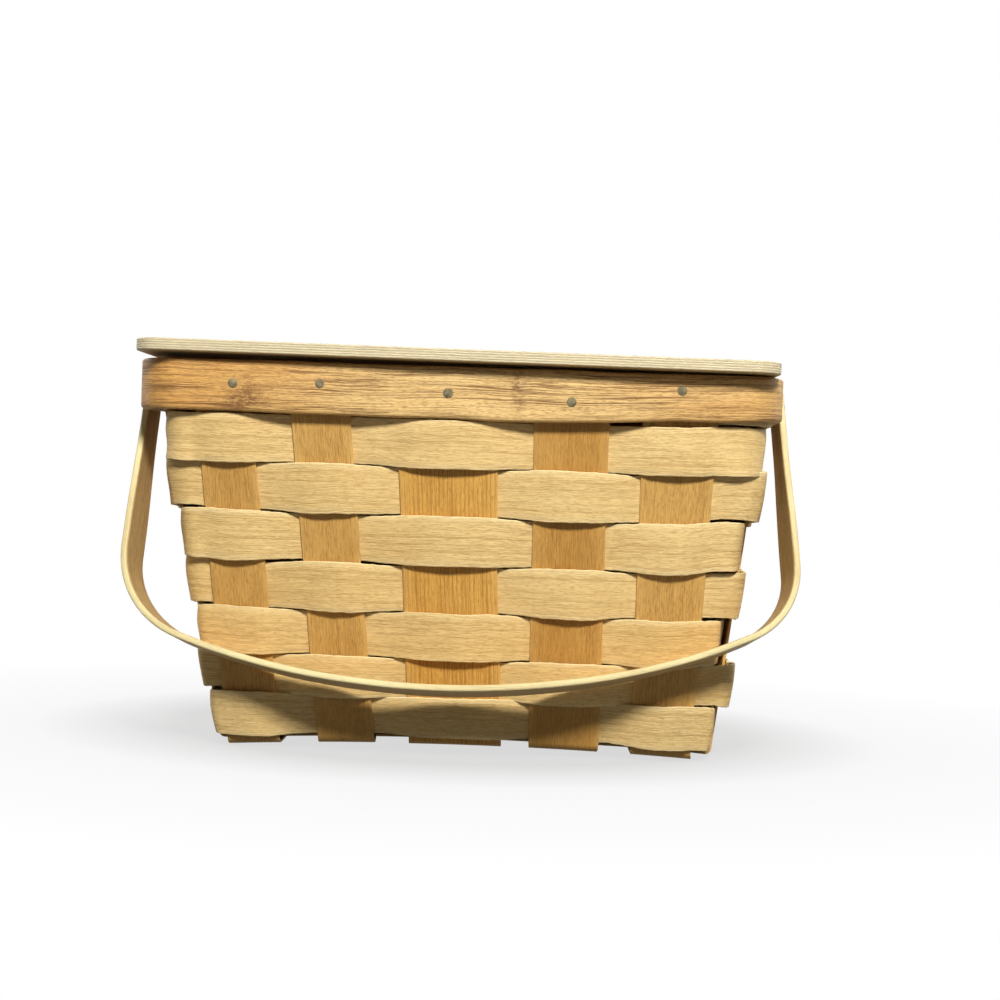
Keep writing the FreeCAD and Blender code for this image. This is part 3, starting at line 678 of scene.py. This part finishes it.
# Middle line of a handle in the plane of its hoop, along X and up from the pivots.
def hoop(inset):
    halves = []
    for side in (-1, 1):
        foot, along, inward, centre, toward = hoop_side(side)
        radius = HANDLE_CORNER[side] - inset
        start = foot + inward * inset - along * HANDLE_WIDTH / 2
        end = centre - inward * radius
        length = np.linalg.norm(end - start)
        tip = np.linspace(0, 1, TIP_STATIONS) ** 2 * TIP_RUN
        places = np.concatenate([tip, np.linspace(TIP_RUN, length, LEG_STATIONS)[1:]]) / length
        leg = blend(start, end, places[:, None])
        bend, bend_out = arc(centre, radius, -inward, toward, HOOP_CORNER_STATIONS)
        leg_out = np.repeat(-inward[None], len(leg), axis=0)
        halves.append((np.concatenate([leg, bend]), np.concatenate([leg_out, bend_out]), toward))
    (left, left_out, start), (right, right_out, end) = halves
    grip, grip_out = arc(ARCH_CENTRE, HANDLE_ARCH - inset, start, end, GRIP_STATIONS)
    points = np.concatenate([left, grip, right[::-1]])
    outward = np.concatenate([left_out, grip_out, right_out[::-1]])
    return points, outward


def handle(name, body, side):
    half = HANDLE_THICKNESS / 2
    points, outward = hoop(half)
    count = len(points)
    across, share = section(HANDLE_WIDTH / 2, half, HANDLE_EDGE, HANDLE_LINES)
    along = distance_along(points)
    from_end = np.minimum(along, along[-1] - along)
    radius = HANDLE_WIDTH / 2 - TIP_TRIM
    narrow = np.clip(radius ** 2 - np.clip(radius - from_end, 0, None) ** 2, TIP_LEAST, None)
    narrow = np.sqrt(narrow) / radius
    wave = HANDLE_WAVE * smooth_noise(count, HANDLE_WAVES)
    wave *= np.clip((from_end - HANDLE_WAVE_FROM) / HANDLE_WAVE_RUN, 0, 1)
    far = np.abs(points[:, 0])
    bow = HANDLE_BOW + HANDLE_END_BOW * eased((far - HANDLE_END_FROM) / HANDLE_END_RUN)
    wave += bow * eased((HANDLE_BOW_FROM - far) / HANDLE_BOW_RUN)
    turn = math.radians(HANDLE_ANGLE)
    roll = turn - math.radians(HANDLE_ROLL) * np.clip(-ROLL_GAIN * outward[:, 1], 0, 1)
    twist = eased((from_end - LEG_TWIST_FROM) / LEG_TWIST_RUN) * eased(np.abs(outward[:, 0]))
    twist *= math.radians(LEG_TWIST)
    lines = []
    for distance in across:
        y = distance * narrow * np.cos(twist) + wave
        u, v = (points - outward * (distance * narrow * np.sin(twist))[:, None]).T
        place_y = y * np.cos(roll) + v * math.sin(turn)
        place_z = -y * np.sin(roll) + v * math.cos(turn)
        lines.append(np.column_stack([u, place_y - PIVOT_SPACING, place_z + PIVOT_HEIGHT]))
    level, upward = np.cos(twist) * outward.T
    backward = np.sin(twist)
    normals = np.column_stack([
        level,
        upward * np.sin(roll) + backward * np.cos(roll),
        upward * np.cos(roll) - backward * np.sin(roll),
    ])
    if side > 0:
        lines = np.array(lines) * HALF_TURN
        normals *= HALF_TURN
    thickness = half * share[:, None]
    piece = strip(
        name, lines, normals, thickness, -thickness, across, False, HANDLE_EDGE_REACH, arched=False
    )
    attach(piece, body)
    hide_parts(name)
    return piece


# The lid board: thin plies whose edges show, with a slight twist and a front edge that is askew.
LID_SKEW = 4.0
LID_CORNER = 13.0
LID_CORNER_STATIONS = 12
LID_SIDE_STATIONS = 90
LID_TWIST = 1.2
LID_FRONT = (-1.0, 3.5)
LID_TONE = 0.4
# Its faces are rings round a small middle one.
LID_RINGS = 14
LID_MIDDLE = 0.03
# The rounding of its edge as insets and heights, and the grooves between the plies.
PLIES = 5
LID_ROUND = ((1.3, 0.0), (0.9, 0.0), (0.35, 0.12), (0.05, 0.5))
FLAT_ROUNDS = 2
GROOVE_HALF = 0.14
GROOVE_DEPTH = 0.16


def lid_outline():
    corners = np.array([
        (LID_LOW.x, LID_LOW.y - LID_FRONT[0]),
        (LID_HIGH.x - LID_SKEW, LID_LOW.y - LID_FRONT[1]),
        (LID_HIGH.x, LID_HIGH.y),
        (LID_LOW.x + LID_SKEW, LID_HIGH.y),
    ])
    points = []
    for place in range(4):
        before, here, after = corners[place - 1], corners[place], corners[(place + 1) % 4]
        inward = (before - here) / np.linalg.norm(before - here)
        onward = (after - here) / np.linalg.norm(after - here)
        opening = math.acos(inward @ onward)
        reach = LID_CORNER / math.tan(opening / 2)
        middle = (inward + onward) / np.linalg.norm(inward + onward)
        centre = here + middle * LID_CORNER / math.sin(opening / 2)
        start, end = here + inward * reach, here + onward * reach
        bend, _ = arc(centre, LID_CORNER, start - centre, end - centre, LID_CORNER_STATIONS)
        points += [start] + list(bend)
        far = after - onward * LID_CORNER
        points += list(blend(end, far, np.linspace(0, 1, LID_SIDE_STATIONS)[:-1, None]))
    return np.array(points)


def lid():
    outline = lid_outline()
    count = len(outline)
    ahead = np.roll(outline, -1, axis=0) - np.roll(outline, 1, axis=0)
    outward = np.column_stack([ahead[:, 1], -ahead[:, 0]])
    outward /= np.linalg.norm(outward, axis=1)[:, None]
    thickness = LID_HIGH.z - LID_LOW.z
    profile = list(LID_ROUND)
    for number in range(1, PLIES):
        seam = number * thickness / PLIES
        profile += [(0.0, seam - GROOVE_HALF), (GROOVE_DEPTH, seam), (0.0, seam + GROOVE_HALF)]
    profile += [(inset, thickness - height) for inset, height in reversed(LID_ROUND)]
    middle = outline.mean(axis=0)
    shares = np.linspace(LID_MIDDLE, 1, LID_RINGS)[:-1]
    rings = [(blend(middle, outline, share), 0.0, 0.0) for share in shares]
    for place, (inset, height) in enumerate(profile):
        on_edge = FLAT_ROUNDS <= place < len(profile) - FLAT_ROUNDS
        rings.append((outline - outward * inset, height, float(on_edge)))
    rings += [(blend(middle, outline, share), thickness, 0.0) for share in reversed(shares)]
    vertices, heights, edge = [], [], []
    for points, height, edge_mask in rings:
        reach = (LID_HIGH.y - points[:, 1]) / (LID_HIGH.y - LID_LOW.y)
        twist = -points[:, 0] / LID_HIGH.x * LID_TWIST * reach
        vertices.append(np.column_stack([points, LID_LOW.z + height + twist]))
        heights.append(np.full(count, height))
        edge.append(np.full(count, edge_mask))
    vertices = np.array(vertices)
    grain = vertices.copy()
    grain[..., 2] = heights
    faces = []
    for low in range(0, (len(rings) - 1) * count, count):
        high = low + count
        for here in range(count):
            there = (here + 1) % count
            faces.append((low + here, high + here, high + there, low + there))
    faces.append(tuple(range(count)))
    top = (len(rings) - 1) * count
    faces.append(tuple(range(top + count - 1, top - 1, -1)))
    tone = np.full(count * len(rings), LID_TONE)
    stain = np.zeros(count * len(rings))
    vertices = vertices.reshape(-1, 3)
    grain = grain.reshape(-1, 3)
    piece = add_mesh("lid_board", vertices, faces, grain, edge=edge, tone=tone, stain=stain)
    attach(piece, "lid_body")
    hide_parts("lid")
    return piece


# The nodes of a material or of the world.
class Shader:
    def __init__(self, owner):
        owner.use_nodes = True
        self.owner = owner
        self.nodes = owner.node_tree.nodes
        self.links = owner.node_tree.links
        self.surface = self.nodes.get("Principled BSDF")

    def put(self, socket, value):
        if isinstance(value, bpy.types.NodeSocket):
            self.links.new(value, socket)
        elif hasattr(value, "__len__") and socket.type == "RGBA":
            socket.default_value = tuple(value) + (1.0,)
        else:
            socket.default_value = value

    def attribute(self, name, output):
        node = self.nodes.new("ShaderNodeAttribute")
        node.attribute_name = name
        return node.outputs[output]

    def scaled(self, vector, factors):
        node = self.nodes.new("ShaderNodeVectorMath")
        node.operation = "MULTIPLY"
        self.put(node.inputs[0], vector)
        node.inputs[1].default_value = factors
        return node.outputs[0]

    def split(self, vector):
        node = self.nodes.new("ShaderNodeSeparateXYZ")
        self.put(node.inputs[0], vector)
        return node.outputs

    def joined(self, x, y, z):
        node = self.nodes.new("ShaderNodeCombineXYZ")
        for socket, value in zip(node.inputs, (x, y, z)):
            self.put(socket, value)
        return node.outputs[0]

    def noise(self, vector, scale, detail=2.0, roughness=0.5):
        node = self.nodes.new("ShaderNodeTexNoise")
        self.put(node.inputs["Vector"], self.scaled(vector, scale))
        node.inputs["Scale"].default_value = 1.0
        node.inputs["Detail"].default_value = detail
        node.inputs["Roughness"].default_value = roughness
        return node.outputs["Fac"]

    def ramp(self, value, *stops):
        node = self.nodes.new("ShaderNodeValToRGB")
        self.put(node.inputs["Fac"], value)
        elements = node.color_ramp.elements
        while len(elements) < len(stops):
            elements.new(0.5)
        for element, (place, colour) in zip(elements, stops):
            colour = tuple(colour) if hasattr(colour, "__len__") else (colour,) * 3
            element.position = place
            element.color = colour + (1.0,)
        return node.outputs["Color"]

    def calc(self, operation, a, b=0.0):
        node = self.nodes.new("ShaderNodeMath")
        node.operation = operation
        self.put(node.inputs[0], a)
        self.put(node.inputs[1], b)
        return node.outputs[0]

    def times(self, a, b):
        return self.calc("MULTIPLY", a, b)

    # A noise about zero, times an amount.
    def swing(self, noise, amount):
        return self.times(self.calc("SUBTRACT", noise, 0.5), amount)

    def mix(self, share, a, b, mode="MIX"):
        node = self.nodes.new("ShaderNodeMix")
        node.data_type = "RGBA"
        node.blend_type = mode
        self.put(node.inputs["Factor"], share)
        self.put(node.inputs[6], a)
        self.put(node.inputs[7], b)
        return node.outputs[2]

    def bump(self, height, strength, distance):
        node = self.nodes.new("ShaderNodeBump")
        node.inputs["Strength"].default_value = strength
        node.inputs["Distance"].default_value = distance
        self.put(node.inputs["Height"], height)
        self.links.new(node.outputs["Normal"], self.surface.inputs["Normal"])

    # 1 where the camera sees the surface, also in a mirror or through glass.
    def seen_directly(self):
        path = self.nodes.new("ShaderNodeLightPath").outputs
        seen = self.calc("MAXIMUM", path["Is Camera Ray"], path["Is Glossy Ray"])
        return self.calc("MAXIMUM", seen, path["Is Transmission Ray"])


# Scales of the noises in wood along, across and through a strip, per metre.
DRIFT_SCALE = (7.0, 22.0, 22.0)
RIPPLE_SCALE = (55.0, 120.0, 120.0)
FADE_SCALE = (14.0, 170.0, 170.0)
FIBRE_SCALE = (160.0, 2400.0, 2400.0)
PORE_SCALE = (300.0, 2800.0, 2800.0)
PATCH_SCALE = (11.0, 40.0, 40.0)
BLOTCH_SCALE = (420.0, 950.0, 950.0)
END_GRAIN_SCALE = (300.0, 300.0, 2500.0)
# Depth of the colour across one growth ring, and across one ply with its two glue lines.
RING_SHAPE = ((0.0, 0.35), (0.03, 1.0), (0.13, 0.45), (0.42, 0.08), (0.95, 0.0), (1.0, 0.35))
GLUE_SHAPE = ((0.0, 1.0), (0.1, 0.0), (0.5, 0.0), (0.9, 0.0), (1.0, 1.0))
# Ramps from a noise to a share.
FADE_STEPS = ((0.36, 0.25), (0.6, 1.0))
STREAK_STEPS = ((0.51, 0.0), (0.57, 1.0))
PORE_STEPS = ((0.57, 0.0), (0.62, 1.0))
BLOTCH_STEPS = ((0.4, 0.15), (0.6, 1.0))
STAIN_STEPS = ((0.05, 0.0), (0.9, 0.85))
EDGE_PATCH_STEPS = ((0.3, 0.5), (0.6, 1.0))
END_GRAIN_STEPS = ((0.4, 0.0), (0.6, 0.3))
FIBRE_TINTS = ((0.32, (0.62, 0.52, 0.38)), (0.6, (1.0, 1.0, 1.0)))
FIBRE_SHARE = 0.42
PATCH_SHARE = 1.2
PORE_SHARE = 0.4
STAIN_COLOUR = (0.16, 0.065, 0.02)
WOOD_ROUGHNESS = ((0.2, 0.46), (0.8, 0.68))
WOOD_SPECULAR = 0.3
# Relief of the fibres, pores and streaks, and the strength and depth of the bump.
FIBRE_RELIEF = 0.6
PORE_RELIEF = 0.5
STREAK_RELIEF = 0.4
WOOD_BUMP = (0.6, 0.0003)


# Ring-porous wood split along the grain. The grain attribute runs along, across and through a strip
# and tone runs from the pale to the warm colour. Period is the distance between two growth rings,
# streak the length and width of the dark streaks, wander and wave how far the rings stray slowly and
# quickly, and ply the thickness of a ply whose edges show, all in millimetres.
def wood(
    name, pale, warm, line, edge_colour, period, ring_share, streak, streak_share,
    wander=4.0, wave=0.35, edge_share=0.75, ply=None,
):
    s = Shader(bpy.data.materials.new(name))
    grain = s.attribute("grain", "Vector")
    along, across, through = s.split(grain)
    drift = s.noise(grain, DRIFT_SCALE)
    ripple = s.noise(grain, RIPPLE_SCALE, 1.0)
    bent = s.calc("ADD", across, s.swing(drift, wander * MM))
    bent = s.calc("ADD", bent, s.swing(ripple, wave * MM))
    field = s.joined(along, bent, through)
    fade = s.ramp(s.noise(grain, FADE_SCALE), *FADE_STEPS)
    ring = s.ramp(s.calc("FRACT", s.calc("DIVIDE", bent, period * MM)), *RING_SHAPE)
    ring = s.times(ring, fade)
    length, width = (1.0 / (side * MM) for side in streak)
    dark = s.noise(field, (length, width, width), 2.0, 0.55)
    dark = s.times(s.ramp(dark, *STREAK_STEPS), fade)
    fibre = s.noise(field, FIBRE_SCALE, 2.0, 0.65)
    pores = s.ramp(s.noise(field, PORE_SCALE, 1.0), *PORE_STEPS)
    patch = s.noise(grain, PATCH_SCALE, 3.0, 0.55)
    tone = s.calc("ADD", s.attribute("tone", "Fac"), s.swing(patch, PATCH_SHARE))
    colour = s.mix(s.ramp(tone, (0.0, 0.0), (1.0, 1.0)), pale, warm)
    colour = s.mix(s.times(ring, ring_share), colour, line)
    colour = s.mix(s.times(dark, streak_share), colour, line)
    colour = s.mix(FIBRE_SHARE, colour, s.ramp(fibre, *FIBRE_TINTS), "MULTIPLY")
    colour = s.mix(s.times(pores, PORE_SHARE), colour, line)
    blotch = s.ramp(s.noise(grain, BLOTCH_SCALE, 3.0, 0.65), *BLOTCH_STEPS)
    mark = s.times(s.attribute("stain", "Fac"), blotch)
    colour = s.mix(s.ramp(mark, *STAIN_STEPS), colour, STAIN_COLOUR)
    # The edges take edge_colour, the wood's own edge colour, except on the weavers, where it is partly
    # a painted highlight.
    edge_mask = s.attribute("edge", "Fac")
    if ply:
        glue = s.ramp(s.calc("FRACT", s.calc("DIVIDE", through, ply * MM)), *GLUE_SHAPE)
        end_grain = s.ramp(s.noise(grain, END_GRAIN_SCALE), *END_GRAIN_STEPS)
        edge_colour = s.mix(s.calc("MAXIMUM", glue, end_grain), edge_colour, line)
    else:
        edge_mask = s.times(edge_mask, s.ramp(patch, *EDGE_PATCH_STEPS))
    colour = s.mix(s.times(edge_mask, edge_share), colour, edge_colour)
    s.put(s.surface.inputs["Base Color"], colour)
    height = s.calc("SUBTRACT", s.times(fibre, FIBRE_RELIEF), s.times(pores, PORE_RELIEF))
    height = s.calc("SUBTRACT", height, s.times(dark, STREAK_RELIEF))
    s.bump(height, *WOOD_BUMP)
    s.put(s.surface.inputs["Roughness"], s.ramp(fibre, *WOOD_ROUGHNESS))
    s.surface.inputs["Specular IOR Level"].default_value = WOOD_SPECULAR
    return s.owner


# Tarnish on metal, in clouds and finer dark specks.
SPECK_SCALE = 9
SPECK_SHADE = 0.4
CLOUD_STEPS = ((0.4, 0.0), (0.62, 1.0))
SPECK_STEPS = ((0.58, 0.0), (0.7, 0.5))
SMOOTHER, ROUGHER = 0.12, 0.15
SPECK_RELIEF = 0.5
METAL_BUMP = (0.35, 0.0002)


def metal(name, base, tarnish, rough, scale, metallic):
    s = Shader(bpy.data.materials.new(name))
    place = s.nodes.new("ShaderNodeTexCoord").outputs["Object"]
    cloud = s.noise(place, (scale,) * 3, 4.0, 0.6)
    specks = s.noise(place, (scale * SPECK_SCALE,) * 3)
    colour = s.mix(s.ramp(cloud, *CLOUD_STEPS), base, tarnish)
    speck_colour = tuple(part * SPECK_SHADE for part in tarnish)
    colour = s.mix(s.ramp(specks, *SPECK_STEPS), colour, speck_colour)
    s.put(s.surface.inputs["Base Color"], colour)
    s.surface.inputs["Metallic"].default_value = metallic
    roughness = s.ramp(cloud, (0.3, rough - SMOOTHER), (0.7, rough + ROUGHER))
    s.put(s.surface.inputs["Roughness"], roughness)
    s.bump(s.calc("ADD", cloud, s.times(specks, SPECK_RELIEF)), *METAL_BUMP)
    return s.owner


def paint(piece, material):
    piece.data.materials.clear()
    piece.data.materials.append(material)


# The weavers' pale edge colour is partly a painted highlight along their edges.
WEAVER_WOOD = wood(
    "weaver_wood",
    pale=(0.88, 0.66, 0.30), warm=(0.80, 0.55, 0.21), line=(0.48, 0.28, 0.08),
    edge_colour=(0.98, 0.85, 0.50),
    period=3.6, ring_share=0.55, streak=(14.0, 0.5), streak_share=0.38, wander=3.0,
)
UPRIGHT_WOOD = wood(
    "upright_wood",
    pale=(0.66, 0.40, 0.115), warm=(0.54, 0.285, 0.063), line=(0.30, 0.13, 0.022),
    edge_colour=(0.80, 0.52, 0.18),
    period=1.9, ring_share=0.25, streak=(14.0, 0.45), streak_share=0.35, wander=2.0,
)
STRIPED_WOOD = wood(
    "striped_upright_wood",
    pale=(0.76, 0.45, 0.11), warm=(0.66, 0.34, 0.06), line=(0.33, 0.125, 0.013),
    edge_colour=(0.80, 0.52, 0.18),
    period=2.2, ring_share=0.85, streak=(30.0, 0.5), streak_share=0.4, wander=1.5,
)
RIM_WOOD = wood(
    "rim_wood",
    pale=(0.86, 0.62, 0.27), warm=(0.70, 0.37, 0.10), line=(0.17, 0.07, 0.016),
    edge_colour=(0.70, 0.45, 0.18),
    period=3.4, ring_share=0.6, streak=(36.0, 0.5), streak_share=0.85, wave=1.2,
)
HANDLE_WOOD = wood(
    "handle_wood",
    pale=(0.66, 0.48, 0.22), warm=(0.58, 0.38, 0.15), line=(0.30, 0.17, 0.06),
    edge_colour=(0.86, 0.77, 0.42),
    period=2.4, ring_share=0.3, streak=(18.0, 0.6), streak_share=0.55, wander=2.0, edge_share=0.95,
)
LID_WOOD = wood(
    "lid_wood",
    pale=(0.70, 0.54, 0.29), warm=(0.60, 0.44, 0.20), line=(0.36, 0.25, 0.12),
    edge_colour=(0.70, 0.625, 0.42),
    period=5.0, ring_share=0.3, streak=(25.0, 0.7), streak_share=0.45, edge_share=1.0, ply=1.2,
)
NAIL_METAL = metal(
    "nail_metal_worn",
    base=(0.23, 0.195, 0.105), tarnish=(0.12, 0.10, 0.055), rough=0.7, scale=420.0, metallic=0.1,
)
RIVET_METAL = metal(
    "rivet_metal_worn",
    base=(0.42, 0.38, 0.30), tarnish=(0.2, 0.16, 0.11), rough=0.42, scale=300.0, metallic=0.85,
)
HINGE_METAL = metal(
    "hinge_brass_worn",
    base=(0.62, 0.44, 0.17), tarnish=(0.32, 0.2, 0.07), rough=0.36, scale=180.0, metallic=0.9,
)

for number, (bottom, top) in enumerate(ROWS, start=1):
    order = 1 if number % 2 else -1
    paint(weaver("weaver_%d" % number, bottom, top, order, number - 1, ROW_CUP), WEAVER_WOOD)
weave_low, weave_high = (corner.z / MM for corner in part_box("rim_weaver"))
paint(weaver("rim_weaver", weave_low, weave_high, -1, HIDDEN_ROW, 0.0), WEAVER_WOOD)
for number in range(5):
    paint(cross_upright(number), STRIPED_WOOD if number == STRIPED_CROSS else UPRIGHT_WOOD)
for side, name in ((-1, "long_splint_front"), (0, "long_splint_middle"), (1, "long_splint_rear")):
    paint(long_upright(side, name), UPRIGHT_WOOD)
paint(rim("outer_rim", 0.0, OUTER_RIM, RIM_SAG), RIM_WOOD)
paint(rim("inner_rim", OUTER_RIM + 3 * SPLINT, INNER_RIM, 0.0), RIM_WOOD)
paint(handle("front_handle", "front_handle_body", -1), HANDLE_WOOD)
paint(handle("rear_handle", "rear_handle_body", 1), HANDLE_WOOD)
paint(lid(), LID_WOOD)

# The metal of the CAD's own pieces, by a word of their names.
METALS = {"nail": NAIL_METAL, "rivet": RIVET_METAL, "washer": RIVET_METAL, "hinge": HINGE_METAL}
for name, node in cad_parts.items():
    for word, material in METALS.items():
        if word in name:
            for place in range(len(node.data.materials)):
                node.data.materials[place] = material

# Floor, light and camera.
WHITE = (1.0, 1.0, 1.0, 1.0)
WORLD_COLOUR = (1.0, 0.98, 0.95, 1.0)
WORLD_STRENGTH = 0.016
studio = Shader(bpy.data.worlds.new("studio"))
bpy.context.scene.world = studio.owner
studio.nodes.clear()
choice = studio.nodes.new("ShaderNodeMixShader")
studio.put(choice.inputs[0], studio.seen_directly())
for socket, colour, strength in ((1, WORLD_COLOUR, WORLD_STRENGTH), (2, WHITE, 1.0)):
    background = studio.nodes.new("ShaderNodeBackground")
    background.inputs["Color"].default_value = colour
    background.inputs["Strength"].default_value = strength
    studio.put(choice.inputs[socket], background.outputs[0])
world_out = studio.nodes.new("ShaderNodeOutputWorld")
studio.put(world_out.inputs["Surface"], choice.outputs[0])

# A floor of dark grey that glows white to the camera: less near the object, where this painted light
# lightens the object's shadow but keeps it, and fully further out, where it runs into the white
# background.
FLOOR_SIZE = 12.0
FLOOR_DROP = 0.0004
FLOOR_COLOUR = (0.1, 0.1, 0.1, 1.0)
FLOOR_ROUGHNESS = 0.9
FLOOR_STRETCH = (1.0, 1.5, 1.0)
FLOOR_GLOW_SHARE = ((0.16, 0.68), (0.24, 0.92), (0.45, 1.0))
bpy.ops.mesh.primitive_plane_add(size=FLOOR_SIZE, location=(0.0, 0.0, -FLOOR_DROP))
floor = bpy.context.object
floor.name = "floor"
paper = Shader(bpy.data.materials.new("floor_paper"))
paper.surface.inputs["Base Color"].default_value = FLOOR_COLOUR
paper.surface.inputs["Roughness"].default_value = FLOOR_ROUGHNESS
glow = paper.nodes.new("ShaderNodeEmission")
glow.inputs["Color"].default_value = WHITE
far = paper.nodes.new("ShaderNodeVectorMath")
far.operation = "LENGTH"
position = paper.nodes.new("ShaderNodeNewGeometry").outputs["Position"]
paper.put(far.inputs[0], paper.scaled(position, FLOOR_STRETCH))
# Painted light: the share of white glow that the camera sees, which grows with the distance from the
# object.
glow_share = paper.times(paper.ramp(far.outputs["Value"], *FLOOR_GLOW_SHARE), paper.seen_directly())
glow_mix = paper.nodes.new("ShaderNodeMixShader")
paper.put(glow_mix.inputs[0], glow_share)
paper.put(glow_mix.inputs[1], paper.surface.outputs[0])
paper.put(glow_mix.inputs[2], glow.outputs[0])
paper.put(paper.nodes["Material Output"].inputs["Surface"], glow_mix.outputs[0])
paint(floor, paper.owner)

# Each lamp's place and target in metres, the width of its disc, its power in watts and its colour.
BASKET_MIDDLE = (0.0, 0.0, 0.1)
SOFT_WHITE = (1.0, 0.98, 0.96)
LAMPS = {
    "key": ((0.17, -1.06, 0.94), (0.0, -0.1, 0.12), 0.26, 22.8, (1.0, 0.97, 0.92)),
    "fill": ((0.2, -1.5, 0.3), BASKET_MIDDLE, 1.2, 0.1, SOFT_WHITE),
    "rear": ((0.0, 1.5, 1.1), BASKET_MIDDLE, 1.0, 12.0, SOFT_WHITE),
    "left": ((-1.4, 0.7, 0.9), BASKET_MIDDLE, 1.0, 13.0, SOFT_WHITE),
    "right": ((1.4, 0.7, 0.9), BASKET_MIDDLE, 1.0, 13.0, SOFT_WHITE),
}
for name, (place, target, width, power, colour) in LAMPS.items():
    lamp = bpy.data.lights.new(name, "AREA")
    lamp.shape = "DISK"
    lamp.size = width
    lamp.energy = power
    lamp.color = colour
    holder = bpy.data.objects.new(name, lamp)
    holder.location = place
    holder.rotation_euler = (Vector(target) - Vector(place)).to_track_quat("-Z", "Y").to_euler()
    bpy.context.scene.collection.objects.link(holder)

CAMERA_PLACE = Vector((30.8, -823.7, 138.8)) * MM
CAMERA_YAW = math.radians(0.76)
CAMERA_PITCH = math.radians(-0.52)
CAMERA_ROLL = math.radians(1.93)
CAMERA_LENS = 51.84
SENSOR = 36.0

forward = Vector((
    -math.sin(CAMERA_YAW) * math.cos(CAMERA_PITCH),
    math.cos(CAMERA_YAW) * math.cos(CAMERA_PITCH),
    math.sin(CAMERA_PITCH),
))
right = Vector((math.cos(CAMERA_YAW), math.sin(CAMERA_YAW), 0.0))
up = right.cross(forward)
turned_right = right * math.cos(CAMERA_ROLL) + up * math.sin(CAMERA_ROLL)
turned_up = up * math.cos(CAMERA_ROLL) - right * math.sin(CAMERA_ROLL)
lens = bpy.data.cameras.new("camera")
lens.sensor_width = SENSOR
lens.lens = CAMERA_LENS
camera = bpy.data.objects.new("camera", lens)
turn = Matrix((turned_right, turned_up, -forward)).transposed().to_4x4()
camera.matrix_world = Matrix.Translation(CAMERA_PLACE) @ turn
bpy.context.scene.collection.objects.link(camera)
bpy.context.scene.camera = camera
bpy.context.scene.view_settings.view_transform = "Standard"
